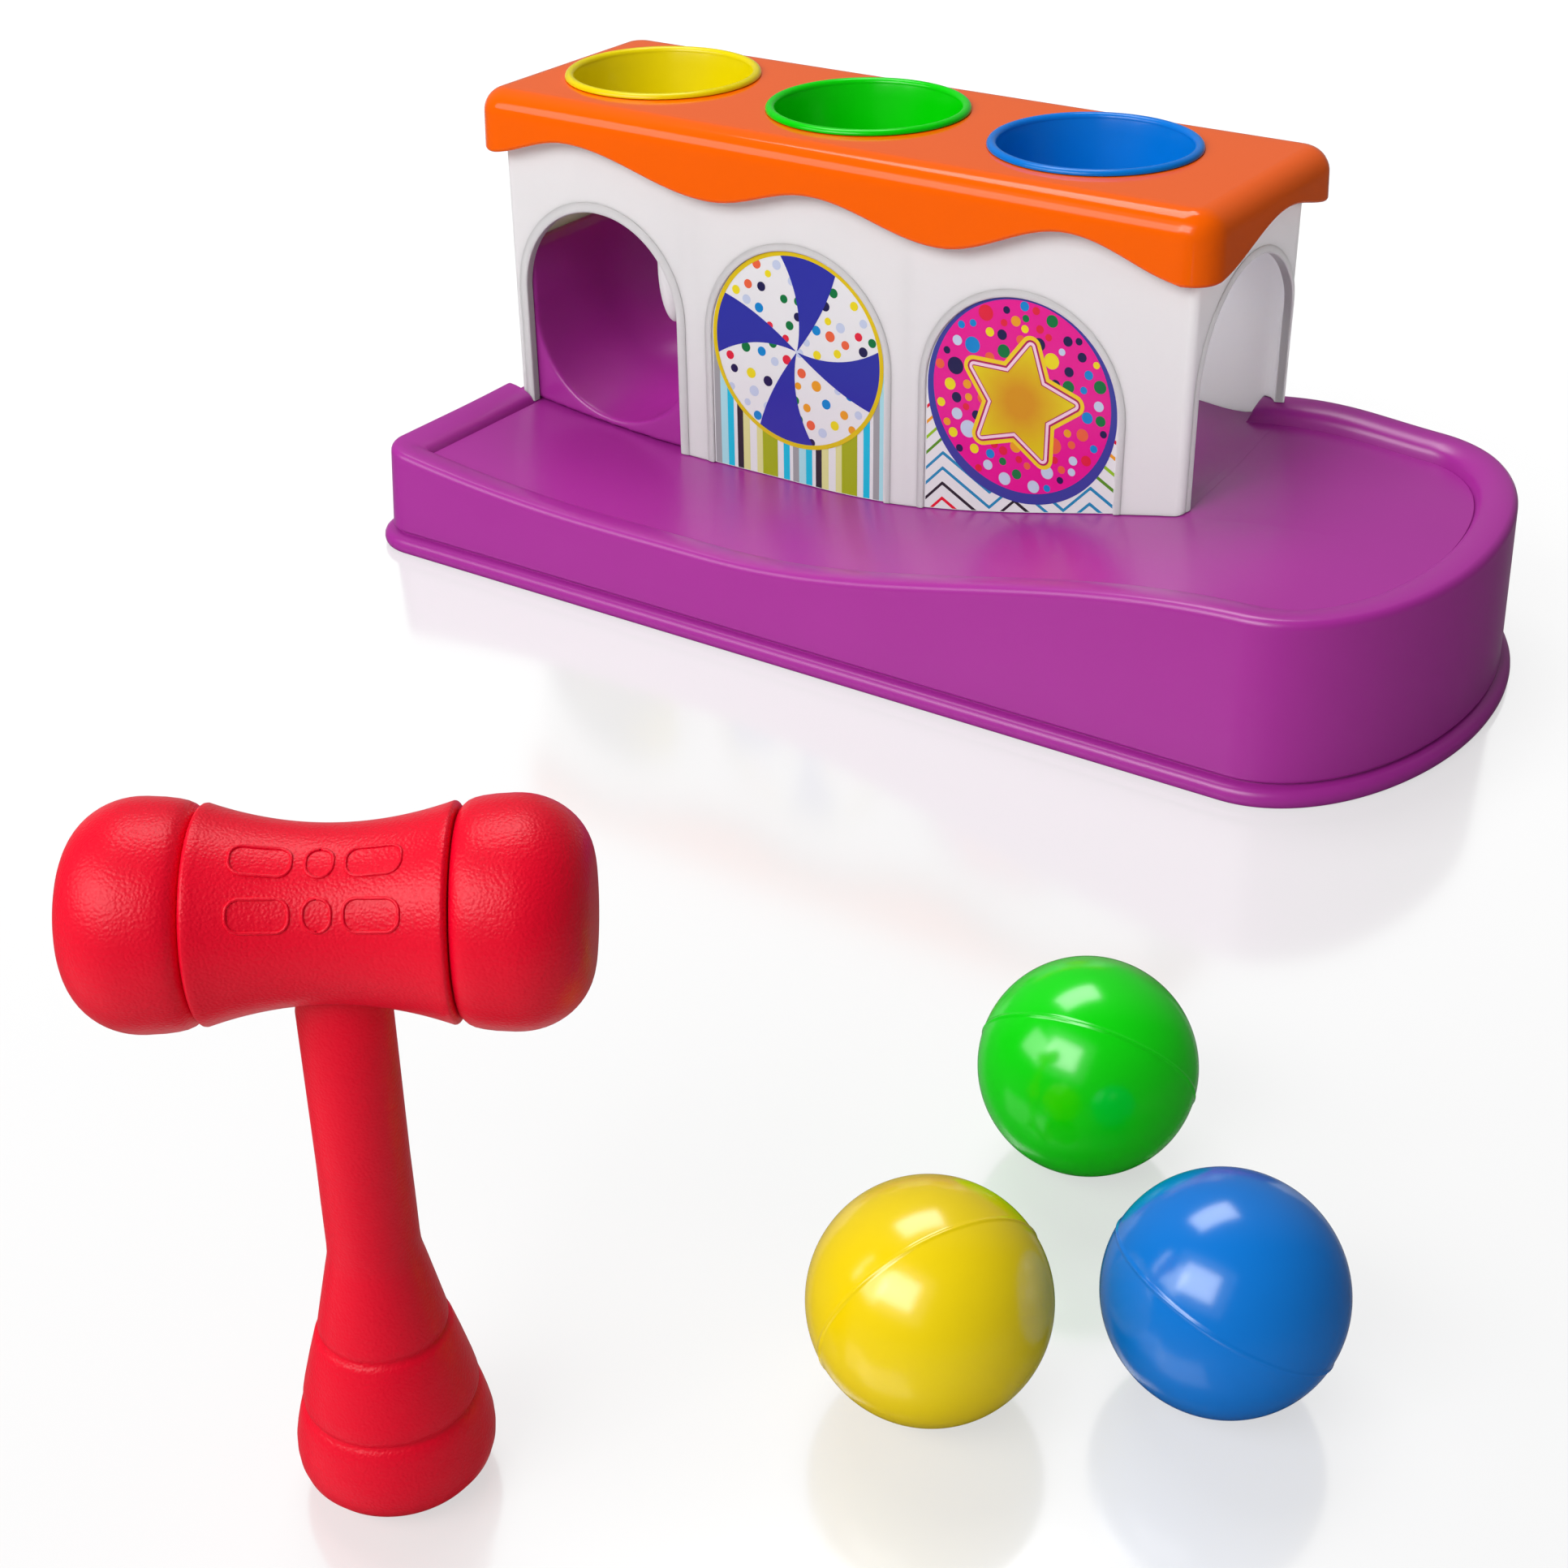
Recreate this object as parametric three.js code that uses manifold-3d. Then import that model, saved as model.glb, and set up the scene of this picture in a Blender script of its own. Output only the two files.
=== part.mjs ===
// Ball pounding bench for a small child: a moulded plastic tray with a little house on it.
// Balls are hammered through three coloured cups in the roof, run down inside the house and
// come out through its open arches onto the sloping deck. A toy hammer and three balls go with it.
// Millimetres. +Z is up, +X runs along the house, and the table is z = 0.
import * as THREE from 'three';
import { mergeVertices } from 'three/addons/utils/BufferGeometryUtils.js';
import Module from 'manifold-3d';

const wasm = await Module();
wasm.setup();

// Driving dimensions. The middle cup's axis is x = 0, y = 0 while the set is being built.
const GAP = 0.3; // clearance between neighbouring pieces
const ARCH_FACETS = 16; // flats round a half circle
const CUP_FACETS = 24; // flats round a cup
const WALL = 2.4; // common moulded wall

const CUP_PITCH = 76.4;
const CUP_XS = { yellow: -CUP_PITCH, green: 0, blue: CUP_PITCH };
const CUP_RIM_R = 31;
const CUP_DEPTH = 26.5;
const CUP_LIP_R = 21.6; // a little less than a ball's, so the ball waits on it

const ROOF_TOP = 130.6;
const ROOF = { x0: -118, x1: 135, y0: -45.5, y1: 40, corner: 10, edge: 7.5, wall: 2.5 };
const ROOF_HOLE_R = 29.8;

const HOUSE = { x0: -109.8, x1: 129.5, y0: -40, y1: 34.3, frontCorner: 2.5, backCorner: 10 };
const HOUSE_TOP = ROOF_TOP - ROOF.wall - GAP;
const DIVIDER_X = -42.6;
const DIVIDER_TOP = 124;
const OPEN_ARCH = { x: -75.3, r: 29.3, z: 67 };
const PANEL_ARCH = { r: 32.1, z: 65.6, depth: 1.2 };
const PANEL_XS = { middle: 0, right: 77 };
const END_ARCH = { y: -3.3, r: 31.5, z: 76.7 };

const TRAY = { x0: -120, dX: 176.6, x1: 221, y0: -108.5, y1: 39.5, corner: 15 };
const DECK = { low: 23.3, lowX: -28, leftRise: 7.7, riseX0: 9, riseX1: 183, high: 48.6, slant: 0.35 };
const RIM = { front: 5, back: 7.2, backStartX: 118.5 };

const SCOOP = { r: 31.5, x: -72, y: -3.3, zBack: 63, zFront: 59.2, top: 82 };
const RAMP = { x0: -41, x1: 117.5, zHigh: 54, zLow: 47.6, apronX: 98, lift: 1.5 };

const POSTS = [[-36.5, -33.5], [-36.5, 28], [39, -33.5], [39, 28]];
const POST_TOP = 111;
const HANGING_POST = { x: -50.5, y: -33.8, r: 4.2, foot: 67 }; // behind the open arch, over the scoop
const LUGS = [[-102, -33], [-100, 25.5], [121.5, -33], [119.5, 25.5]];
const LUG_Z = 115;
const LUG_THICKNESS = 3;
const LUG_REACH = 3.2; // how far a screw lug goes past its screw
const SCOOP_SCREWS = [[-100, 22]];
const RAMP_SCREWS = [[15.5, -3]];
const SCREW = { r: 1.4, head: 2.9, headHeight: 2 };
const DECK_SCREW_LENGTH = 15;
const ROOF_SCREW_LENGTH = 12;
const BOSS_SEAT = 8; // a deck screw's seat is this far under the deck's face

const BALL_R = 22.5;
const BALLS = {
  yellow: { at: [224, -332], tilt: [28, 38] },
  green: { at: [215, -254.5], tilt: [18, -12] },
  blue: { at: [267.5, -301], tilt: [24, -32] },
};

const HAMMER = { at: [154.5, -399], turn: 34, headZ: 118, headLength: 82, capR: 18.5 };
const HANDLE_R = 7.7;

const COLOURS = {
  purple: 0xa8329a,
  orange: 0xff6a08,
  white: 0xeceaeb,
  yellow: 0xecdb00,
  green: 0x06c406,
  blue: 0x0a82d6,
  red: 0xe00f2c,
  print: 0xf2f2f4,
  steel: 0xb8bcc2,
};

function plastic(colour, roughness) {
  return new THREE.MeshStandardMaterial({ color: colour, roughness, metalness: 0 });
}

const MATERIALS = {
  purple: plastic(COLOURS.purple, 0.42),
  orange: plastic(COLOURS.orange, 0.22),
  white: plastic(COLOURS.white, 0.45),
  yellow: plastic(COLOURS.yellow, 0.2),
  green: plastic(COLOURS.green, 0.2),
  blue: plastic(COLOURS.blue, 0.2),
  red: plastic(COLOURS.red, 0.55),
  print: plastic(COLOURS.print, 0.4),
  steel: new THREE.MeshStandardMaterial({ color: COLOURS.steel, roughness: 0.35, metalness: 1 }),
};

// Closed geometry to solid, for joining and cutting, and back again.
function solid(geometry) {
  const bare = geometry.clone();
  bare.deleteAttribute('normal');
  bare.deleteAttribute('uv');
  const merged = mergeVertices(bare, 1e-4);
  const mesh = new wasm.Mesh({
    numProp: 3,
    vertProperties: new Float32Array(merged.attributes.position.array),
    triVerts: new Uint32Array(merged.index.array),
  });
  return new wasm.Manifold(mesh);
}

function toGeometry(manifold) {
  const mesh = manifold.getMesh();
  const geometry = new THREE.BufferGeometry();
  geometry.setAttribute('position', new THREE.BufferAttribute(mesh.vertProperties, 3));
  geometry.setIndex(new THREE.BufferAttribute(mesh.triVerts, 1));
  const flat = geometry.toNonIndexed();
  flat.computeVertexNormals();
  return flat;
}

function box(x0, x1, y0, y1, z0, z1) {
  const geometry = new THREE.BoxGeometry(x1 - x0, y1 - y0, z1 - z0);
  return solid(geometry.translate((x0 + x1) / 2, (y0 + y1) / 2, (z0 + z1) / 2));
}

function upright(x, y, r, z0, z1, segments = 24) {
  const geometry = new THREE.CylinderGeometry(r, r, z1 - z0, segments);
  return solid(geometry.rotateX(Math.PI / 2).translate(x, y, (z0 + z1) / 2));
}

// A half wave from value a at u = 0 to value b at u = 1, flat at both ends.
function wave(a, b, u) {
  const t = THREE.MathUtils.clamp(u, 0, 1);
  return a + ((b - a) * (1 - Math.cos(Math.PI * t))) / 2;
}

// A height that swings between the given [place, height] pairs in half waves.
function waveThrough(pairs, x) {
  const last = pairs.findIndex(([place]) => place >= x);
  if (last === 0) return pairs[0][1];
  if (last < 0) return pairs[pairs.length - 1][1];
  const [x0, z0] = pairs[last - 1];
  const [x1, z1] = pairs[last];
  return wave(z0, z1, (x - x0) / (x1 - x0));
}

// Deck height: low in front of the house, a little higher at the left, and climbing to the
// round end. Behind the front wall line the climb starts earlier, so the deck curls round.
function deckHeight(x, y) {
  const along = x + DECK.slant * Math.max(0, y - HOUSE.y0);
  if (x < DECK.lowX) {
    return DECK.low + DECK.leftRise * ((x - DECK.lowX) / (TRAY.x0 - DECK.lowX)) ** 2;
  }
  return wave(DECK.low, DECK.high, (along - DECK.riseX0) / (DECK.riseX1 - DECK.riseX0));
}

// The rim stands all round the deck, but stops where the house stands on the tray's edge.
function rimHeight(x, y) {
  const leftEnd = THREE.MathUtils.clamp((HOUSE.y0 - 1 - y) / 4, 0, 1);
  const backEnd = THREE.MathUtils.clamp((x - RIM.backStartX) / 3, 0, 1);
  const alongBack = y > (TRAY.y0 + TRAY.y1) / 2 || x < HOUSE.x0;
  const share = alongBack ? Math.max(leftEnd, backEnd) : 1;
  const height = wave(RIM.front, RIM.back, (y - HOUSE.y0) / (TRAY.y1 - HOUSE.y0));
  return height * Math.sin((share * Math.PI) / 2);
}

// Stations of an outline that is alike on both sides of its middle line, as [x, half width]
// at a given inset: a round left corner, a straight side, and a right end that is either a
// round corner or half an ellipse.
function stations({ x0, x1, half, corner, ellipseX, straights, arcSteps, ellipseSteps }) {
  return (inset) => {
    const points = [];
    const r = Math.max(corner - inset, 0.8);
    const cx = x0 + inset + r;
    const cy = half - inset - r;
    for (let k = 0; k <= arcSteps; k += 1) {
      const a = Math.PI - (k / arcSteps) * (Math.PI / 2);
      points.push([cx + r * Math.cos(a), cy + r * Math.sin(a)]);
    }
    straights.forEach((x) => points.push([x, half - inset]));
    if (ellipseX === undefined) {
      for (let k = 0; k <= arcSteps; k += 1) {
        const a = Math.PI / 2 - (k / arcSteps) * (Math.PI / 2);
        points.push([x1 - inset - r + r * Math.cos(a), cy + r * Math.sin(a)]);
      }
      return points;
    }
    for (let k = 0; k <= ellipseSteps; k += 1) {
      const a = (Math.PI / 2) * (1 - k / (ellipseSteps + 0.25));
      points.push([
        ellipseX + (x1 - ellipseX - inset) * Math.cos(a),
        (half - inset) * Math.sin(a),
      ]);
    }
    return points;
  };
}

// A moulding built from bands: each ring follows the outline at its own inset and height,
// and the first and last rings are closed by a surface whose height is given as well. Rows
// are the places across it, from -1 at the front to 1 at the back.
function bandedSolid(outline, middleY, rows, rings, topZ, bottomZ) {
  const positions = [];
  const index = [];
  const count = outline(0).length;
  const lastRow = rows.length - 1;
  const add = (x, y, z) => positions.push(x, y, z) / 3 - 1;
  const place = (points, i, j) => [points[i][0], middleY + points[i][1] * rows[j]];
  const loop = [];
  for (let i = 0; i < count; i += 1) loop.push([i, 0]);
  for (let j = 1; j < lastRow; j += 1) loop.push([count - 1, j]);
  for (let i = count - 1; i >= 0; i -= 1) loop.push([i, lastRow]);
  for (let j = lastRow - 1; j > 0; j -= 1) loop.push([0, j]);

  const bands = rings.map(([inset, height]) => {
    const points = outline(inset);
    return loop.map(([i, j]) => {
      const [x, y] = place(points, i, j);
      return add(x, y, height(x, y));
    });
  });
  for (let b = 0; b + 1 < bands.length; b += 1) {
    bands[b].forEach((upper, k) => {
      const next = (k + 1) % loop.length;
      const upperNext = bands[b][next];
      const lower = bands[b + 1][k];
      const lowerNext = bands[b + 1][next];
      index.push(upper, lower, upperNext, upperNext, lower, lowerNext);
    });
  }

  const cap = (ringNumber, height, up) => {
    const points = outline(rings[ringNumber][0]);
    const ids = new Map(loop.map(([i, j], k) => [`${i},${j}`, bands[ringNumber][k]]));
    const id = (i, j) => {
      const key = `${i},${j}`;
      if (!ids.has(key)) {
        const [x, y] = place(points, i, j);
        ids.set(key, add(x, y, height(x, y)));
      }
      return ids.get(key);
    };
    for (let i = 0; i + 1 < count; i += 1) {
      for (let j = 0; j < lastRow; j += 1) {
        const quad = [id(i, j), id(i + 1, j), id(i + 1, j + 1), id(i, j + 1)];
        if (up) index.push(quad[0], quad[1], quad[2], quad[0], quad[2], quad[3]);
        else index.push(quad[0], quad[2], quad[1], quad[0], quad[3], quad[2]);
      }
    }
  };
  cap(0, topZ, true);
  cap(rings.length - 1, bottomZ, false);

  const geometry = new THREE.BufferGeometry();
  geometry.setAttribute('position', new THREE.Float32BufferAttribute(positions, 3));
  geometry.setIndex(index);
  return solid(geometry);
}

// Tray: outer wall with draft, a rounded rim, and a bead flange with a groove above it.
const TRAY_MIDDLE = (TRAY.y0 + TRAY.y1) / 2;
const TRAY_PLAN = {
  x0: TRAY.x0,
  x1: TRAY.x1,
  half: (TRAY.y1 - TRAY.y0) / 2,
  corner: TRAY.corner,
  ellipseX: TRAY.dX,
};
const trayOutline = stations({
  ...TRAY_PLAN,
  straights: [-77, -44, -5, 18, 38, 58, 78, 98, 118, 122, 140, 158],
  arcSteps: 3,
  ellipseSteps: 13,
});
const hollowOutline = stations({
  ...TRAY_PLAN,
  straights: [-44, 0, 33, 66, 100, 138],
  arcSteps: 2,
  ellipseSteps: 6,
});
const DECK_INSET = 11.6;
const level = (z) => () => z;
const onRim = (share, drop = 0) => (x, y) => deckHeight(x, y) + share * rimHeight(x, y) - drop;
const TRAY_RINGS = [
  [DECK_INSET, deckHeight],
  [10.2, onRim(0.16)],
  [9.1, onRim(0.74)],
  [7.1, onRim(1)],
  [5.2, onRim(0.8)],
  [4.5, onRim(0.5, 1)],
  [3.2, level(10.4)],
  [4, level(9)],
  [0.9, level(7.2)],
  [0, level(4.2)],
  [1, level(0)],
];
const DECK_ROWS = [-1, -0.178, -0.11, 0.45, 1];
const trayBody = bandedSolid(
  trayOutline, TRAY_MIDDLE, DECK_ROWS, TRAY_RINGS, deckHeight, level(0),
);

function trayHollow() {
  const under = (x, y) => deckHeight(x, y) - WALL;
  const rings = [[7.2, under], [5, level(2)], [5, level(-1)]];
  return bandedSolid(hollowOutline, TRAY_MIDDLE, [-1, 0, 1], rings, under, level(-1));
}

// Screw boss under the deck: a tube that ends above the table, with a seat for the head.
function deckBoss([x, y]) {
  const deck = deckHeight(x, y);
  return {
    tube: upright(x, y, 4.6, deck - BOSS_SEAT - 6, deck - 1, 8),
    seat: upright(x, y, 3.4, -1, deck - BOSS_SEAT, 8),
    hole: upright(x, y, SCREW.r + GAP, deck - BOSS_SEAT - 1, deck + 2, 6),
  };
}

function makeTray() {
  let tray = trayBody.subtract(trayHollow());
  const ribs = [-77, 0, 110].map((x) => (
    box(x - 0.9, x + 0.9, TRAY.y0 + 4, TRAY.y1 - 4, 10, deckHeight(x, 0) + 3)
  ));
  ribs.push(box(TRAY.x0 + 4, 211, -74.9, -73.1, 10, DECK.high));
  const within = trayBody.translate(0, 0, -1);
  ribs.forEach((rib) => {
    tray = tray.add(rib.intersect(within));
  });
  [...POSTS, ...SCOOP_SCREWS, ...RAMP_SCREWS].forEach((place) => {
    const boss = deckBoss(place);
    tray = tray.add(boss.tube).subtract(boss.seat).subtract(boss.hole);
  });
  return tray;
}

// What stands on the deck is cut to it, with clearance from the deck and from the rim.
const DECK_CLEARANCE = [
  [DECK_INSET + GAP, (x, y) => deckHeight(x, y) + GAP],
  [10.3 + GAP, onRim(0.25, -GAP)],
  [9.1 + GAP, onRim(0.8, -GAP)],
  [7.3, onRim(1, -GAP)],
  [4.9 - GAP, onRim(0.8, -GAP)],
  [4.2 - GAP, onRim(0.5, -GAP)],
  [4.2 - GAP, level(-20)],
];
const deckCutter = bandedSolid(
  trayOutline, TRAY_MIDDLE, DECK_ROWS, DECK_CLEARANCE, DECK_CLEARANCE[0][1], level(-20),
);
function standOnDeck(piece) {
  return piece.subtract(deckCutter);
}

// House: plan outline with small front corners and rounder back ones.
function houseOutline(inset) {
  const { x0, x1, y0, y1 } = HOUSE;
  const front = Math.max(HOUSE.frontCorner - inset, 0.4);
  const back = HOUSE.backCorner - inset;
  const shape = new THREE.Shape();
  shape.moveTo(x0 + inset + front, y0 + inset);
  shape.lineTo(x1 - inset - front, y0 + inset);
  shape.absarc(x1 - inset - front, y0 + inset + front, front, -Math.PI / 2, 0);
  shape.absarc(x1 - inset - back, y1 - inset - back, back, 0, Math.PI / 2);
  shape.absarc(x0 + inset + back, y1 - inset - back, back, Math.PI / 2, Math.PI);
  shape.absarc(x0 + inset + front, y0 + inset + front, front, Math.PI, 1.5 * Math.PI);
  return shape;
}

function extruded(shape, depth, options = {}) {
  return new THREE.ExtrudeGeometry(shape, {
    depth, bevelEnabled: false, curveSegments: 4, ...options,
  });
}

// Arch outline in its own plane: straight legs down from a half circle at the origin.
function archShape(r, legs) {
  const shape = new THREE.Shape();
  shape.moveTo(-r, -legs);
  shape.lineTo(r, -legs);
  shape.lineTo(r, 0);
  shape.absarc(0, 0, r, 0, Math.PI);
  shape.closePath();
  return shape;
}

// A block with an arch outline, standing in the XZ plane with its front face at y.
function archBlock(x, z, r, y, depth, legs = 60) {
  const geometry = extruded(archShape(r, legs), depth, { curveSegments: ARCH_FACETS });
  return solid(geometry.rotateX(Math.PI / 2).translate(x, y + depth, z));
}

// The raised round moulding that follows an arch, proud of the wall.
const MOULDING = { width: 3, proud: 1, round: 0.6 };
function archMoulding(r) {
  const { width, proud, round } = MOULDING;
  const outer = r + width - round;
  const inner = r + round;
  const legs = 60;
  const shape = new THREE.Shape();
  shape.moveTo(inner, -legs);
  shape.lineTo(outer, -legs);
  shape.lineTo(outer, 0);
  shape.absarc(0, 0, outer, 0, Math.PI);
  shape.lineTo(-outer, -legs);
  shape.lineTo(-inner, -legs);
  shape.lineTo(-inner, 0);
  shape.absarc(0, 0, inner, Math.PI, 0, true);
  shape.closePath();
  const geometry = extruded(shape, proud - round + 1, {
    curveSegments: ARCH_FACETS,
    bevelEnabled: true,
    bevelSize: round,
    bevelThickness: round,
    bevelSegments: 1,
  });
  return geometry.translate(0, 0, -1);
}

function frontMoulding(x, z, r) {
  return solid(archMoulding(r).rotateX(Math.PI / 2).translate(x, HOUSE.y0, z));
}

function makeHouse() {
  const { x0, x1, y0, y1 } = HOUSE;
  let house = solid(extruded(houseOutline(0), HOUSE_TOP - 10).translate(0, 0, 10));
  house = house.subtract(solid(extruded(houseOutline(WALL), HOUSE_TOP).translate(0, 0, 5)));
  house = house.add(box(DIVIDER_X - WALL / 2, DIVIDER_X + WALL / 2, y0 + 1, y1 - 1, 10, DIVIDER_TOP));

  house = house.add(frontMoulding(OPEN_ARCH.x, OPEN_ARCH.z, OPEN_ARCH.r));
  Object.values(PANEL_XS).forEach((x) => {
    house = house.add(frontMoulding(x, PANEL_ARCH.z, PANEL_ARCH.r));
  });
  const endRing = archMoulding(END_ARCH.r)
    .rotateX(Math.PI / 2)
    .rotateZ(Math.PI / 2)
    .translate(x1, END_ARCH.y, END_ARCH.z);
  house = house.add(solid(endRing));

  house = house.subtract(archBlock(OPEN_ARCH.x, OPEN_ARCH.z, OPEN_ARCH.r, y0 - 5, WALL + 6));
  Object.values(PANEL_XS).forEach((x) => {
    const { z, r, depth } = PANEL_ARCH;
    house = house.subtract(archBlock(x, z, r, y0 - 5, 5 + depth));
  });
  const endCut = extruded(archShape(END_ARCH.r, 60), WALL + 6, { curveSegments: ARCH_FACETS })
    .rotateX(Math.PI / 2)
    .rotateZ(Math.PI / 2)
    .translate(x1 - WALL - 1, END_ARCH.y, END_ARCH.z);
  house = house.subtract(solid(endCut));

  POSTS.forEach(([x, y]) => {
    const edge = y < 0 ? [y0 + 1, y] : [y, y1 - 1];
    house = house.add(upright(x, y, 3.5, 12, POST_TOP, 8));
    house = house.add(box(x - 1, x + 1, ...edge, 12, POST_TOP));
    house = house.subtract(upright(x, y, SCREW.r + GAP, 0, deckHeight(x, y) + 14, 6));
  });
  const { x, y, r, foot } = HANGING_POST;
  house = house.add(upright(x, y, r, foot + r, POST_TOP, 12));
  house = house.add(wasm.Manifold.sphere(r, 12).translate([x, y, foot + r]));
  LUGS.forEach(([x, y]) => {
    const [lx0, lx1] = x < 0 ? [x0 + 1, x + LUG_REACH] : [x - LUG_REACH, x1 - 1];
    const [ly0, ly1] = y < 0 ? [y0 + 1, y + LUG_REACH] : [y - LUG_REACH, y1 - 1];
    const plan = solid(extruded(houseOutline(1), LUG_THICKNESS).translate(0, 0, LUG_Z));
    const lug = box(lx0, lx1, ly0, ly1, LUG_Z, LUG_Z + LUG_THICKNESS);
    house = house.add(lug.intersect(plan));
    house = house.subtract(upright(x, y, SCREW.r + GAP, LUG_Z - 3, LUG_Z + 6, 6));
  });
  return standOnDeck(house);
}

// Roof: a thick cap with round edges and a skirt that hangs in waves, like melting icing.
const ROOF_MIDDLE = (ROOF.y0 + ROOF.y1) / 2;
const SKIRT_CORNER = 110.7;
const FRONT_WAVE = [
  [-115, 111.3], [-81, 118.4], [-28, 109], [8, 116.2], [51, 108.5], [92, 119.6],
  [130, SKIRT_CORNER],
];
const END_WAVE = [[ROOF.y0 + 5, SKIRT_CORNER], [4, 120.6], [ROOF.y1 - 2, 115]];

function skirtHeight(x, y) {
  const end = waveThrough(END_WAVE, y);
  if (x > ROOF.x1 - ROOF.corner) return end;
  if (x < ROOF.x0 + ROOF.corner) return Math.max(end, waveThrough(FRONT_WAVE, x));
  const back = y > ROOF_MIDDLE ? 4.3 : 0;
  return waveThrough(FRONT_WAVE, x) + back * THREE.MathUtils.clamp((x - 92) / 34, 0, 1);
}

function makeRoof() {
  const outline = stations({
    x0: ROOF.x0,
    x1: ROOF.x1,
    half: (ROOF.y1 - ROOF.y0) / 2,
    corner: ROOF.corner,
    straights: [-98, -81, -66, -52, -40, -28, -16, -4, 8, 21, 36, 51, 66, 79, 92, 108],
    arcSteps: 3,
  });
  const rows = [-1, -0.5, 0, 0.5, 1];
  const edgeSteps = 4;
  const rings = [];
  for (let k = 0; k <= edgeSteps; k += 1) {
    const a = (k / edgeSteps) * (Math.PI / 2);
    const inset = 0.8 + ROOF.edge * (1 - Math.sin(a));
    rings.push([inset, level(ROOF_TOP - ROOF.edge * (1 - Math.cos(a)))]);
  }
  rings.push([0, (x, y) => skirtHeight(x, y) + 1.2]);
  rings.push([0.9, skirtHeight]);
  rings.push([ROOF.wall, (x, y) => skirtHeight(x, y) + 0.4]);
  rings.push([ROOF.wall + 1, level(ROOF_TOP - ROOF.wall - 1)]);
  rings.push([ROOF.wall + 2, level(ROOF_TOP - ROOF.wall)]);
  const flat = level(ROOF_TOP);
  let roof = bandedSolid(
    outline, ROOF_MIDDLE, rows, rings, flat, level(ROOF_TOP - ROOF.wall),
  );
  LUGS.forEach(([x, y]) => {
    roof = roof.add(upright(x, y, 3.6, LUG_Z + LUG_THICKNESS + GAP, ROOF_TOP - 1, 8));
    roof = roof.subtract(upright(x, y, SCREW.r + GAP, LUG_Z, ROOF_TOP - 1.2, 6));
  });
  Object.values(CUP_XS).forEach((x) => {
    roof = roof.subtract(upright(x, 0, ROOF_HOLE_R, ROOF_TOP - 20, ROOF_TOP + 5, CUP_FACETS));
  });
  return roof;
}

// Cup: a tapering funnel with a rolled rim on the roof, snap bead under it, and a lip that
// holds a ball until it is struck.
function cupGeometry() {
  const z = ROOF_TOP;
  const bottom = z + 1.5 - CUP_DEPTH;
  const profile = [
    [27.8, z - 1], [28.4, z + 1], [29.7, z + 1.7], [CUP_RIM_R - 0.4, z + 1.3],
    [CUP_RIM_R, z + GAP], [29.4, z + GAP], [29.4, z - 2.8], [30, z - 3.5], [29.2, z - 4.3],
    [CUP_LIP_R + 3, bottom], [CUP_LIP_R, bottom - 0.4], [CUP_LIP_R + 1.2, bottom + 2.4],
  ];
  const points = profile.map(([r, h]) => new THREE.Vector2(r, h));
  points.push(points[0].clone());
  return new THREE.LatheGeometry(points.reverse(), CUP_FACETS).rotateX(Math.PI / 2);
}

// Scoop: a purple insert in the left bay. A ball drops into its round hollow and rolls out
// through the open arch.
function makeScoop() {
  const { x0, y0, y1 } = HOUSE;
  const inner = solid(extruded(houseOutline(WALL + GAP), 90).translate(0, 0, 10));
  const right = DIVIDER_X - WALL / 2 - GAP;
  const block = box(x0, right, y0 + WALL + GAP, y1, 12, SCOOP.top);
  const length = 60;
  const slope = Math.atan2(SCOOP.zBack - SCOOP.zFront, SCOOP.y - y0);
  const groove = new THREE.CapsuleGeometry(SCOOP.r, length, 7, 28)
    .translate(0, -length / 2, 0)
    .rotateX(slope)
    .translate(SCOOP.x, SCOOP.y, SCOOP.zBack);
  const plan = new THREE.Shape();
  plan.moveTo(SCOOP.x - SCOOP.r, y0 - 10);
  plan.lineTo(SCOOP.x + SCOOP.r, y0 - 10);
  plan.lineTo(SCOOP.x + SCOOP.r, SCOOP.y);
  plan.absarc(SCOOP.x, SCOOP.y, SCOOP.r, 0, Math.PI);
  const well = solid(extruded(plan, 60, { curveSegments: ARCH_FACETS / 2 }).translate(0, 0, SCOOP.zBack));
  let scoop = block.intersect(inner).subtract(solid(groove)).subtract(well);
  SCOOP_SCREWS.forEach(([x, y]) => {
    scoop = scoop.subtract(upright(x, y, SCREW.r + GAP, 0, deckHeight(x, y) + 10, 6));
  });
  return standOnDeck(scoop);
}

function rampHeight(x) {
  return RAMP.zHigh + ((RAMP.zLow - RAMP.zHigh) * (x - RAMP.x0)) / (RAMP.x1 - RAMP.x0);
}

// What is cut off the ramp's last part, so that it comes down to the deck at the end arch.
function apronCutter() {
  const { x1, y0, y1 } = HOUSE;
  const near = [y0, y1].map((y) => [RAMP.apronX, y, rampHeight(RAMP.apronX)]);
  const far = [y0, y1].map((y) => [x1, y, deckHeight(x1, y) + RAMP.lift]);
  const edge = [...near, ...far];
  return wasm.Manifold.hull([...edge, ...edge.map(([x, y]) => [x, y, HOUSE_TOP])]);
}

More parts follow.
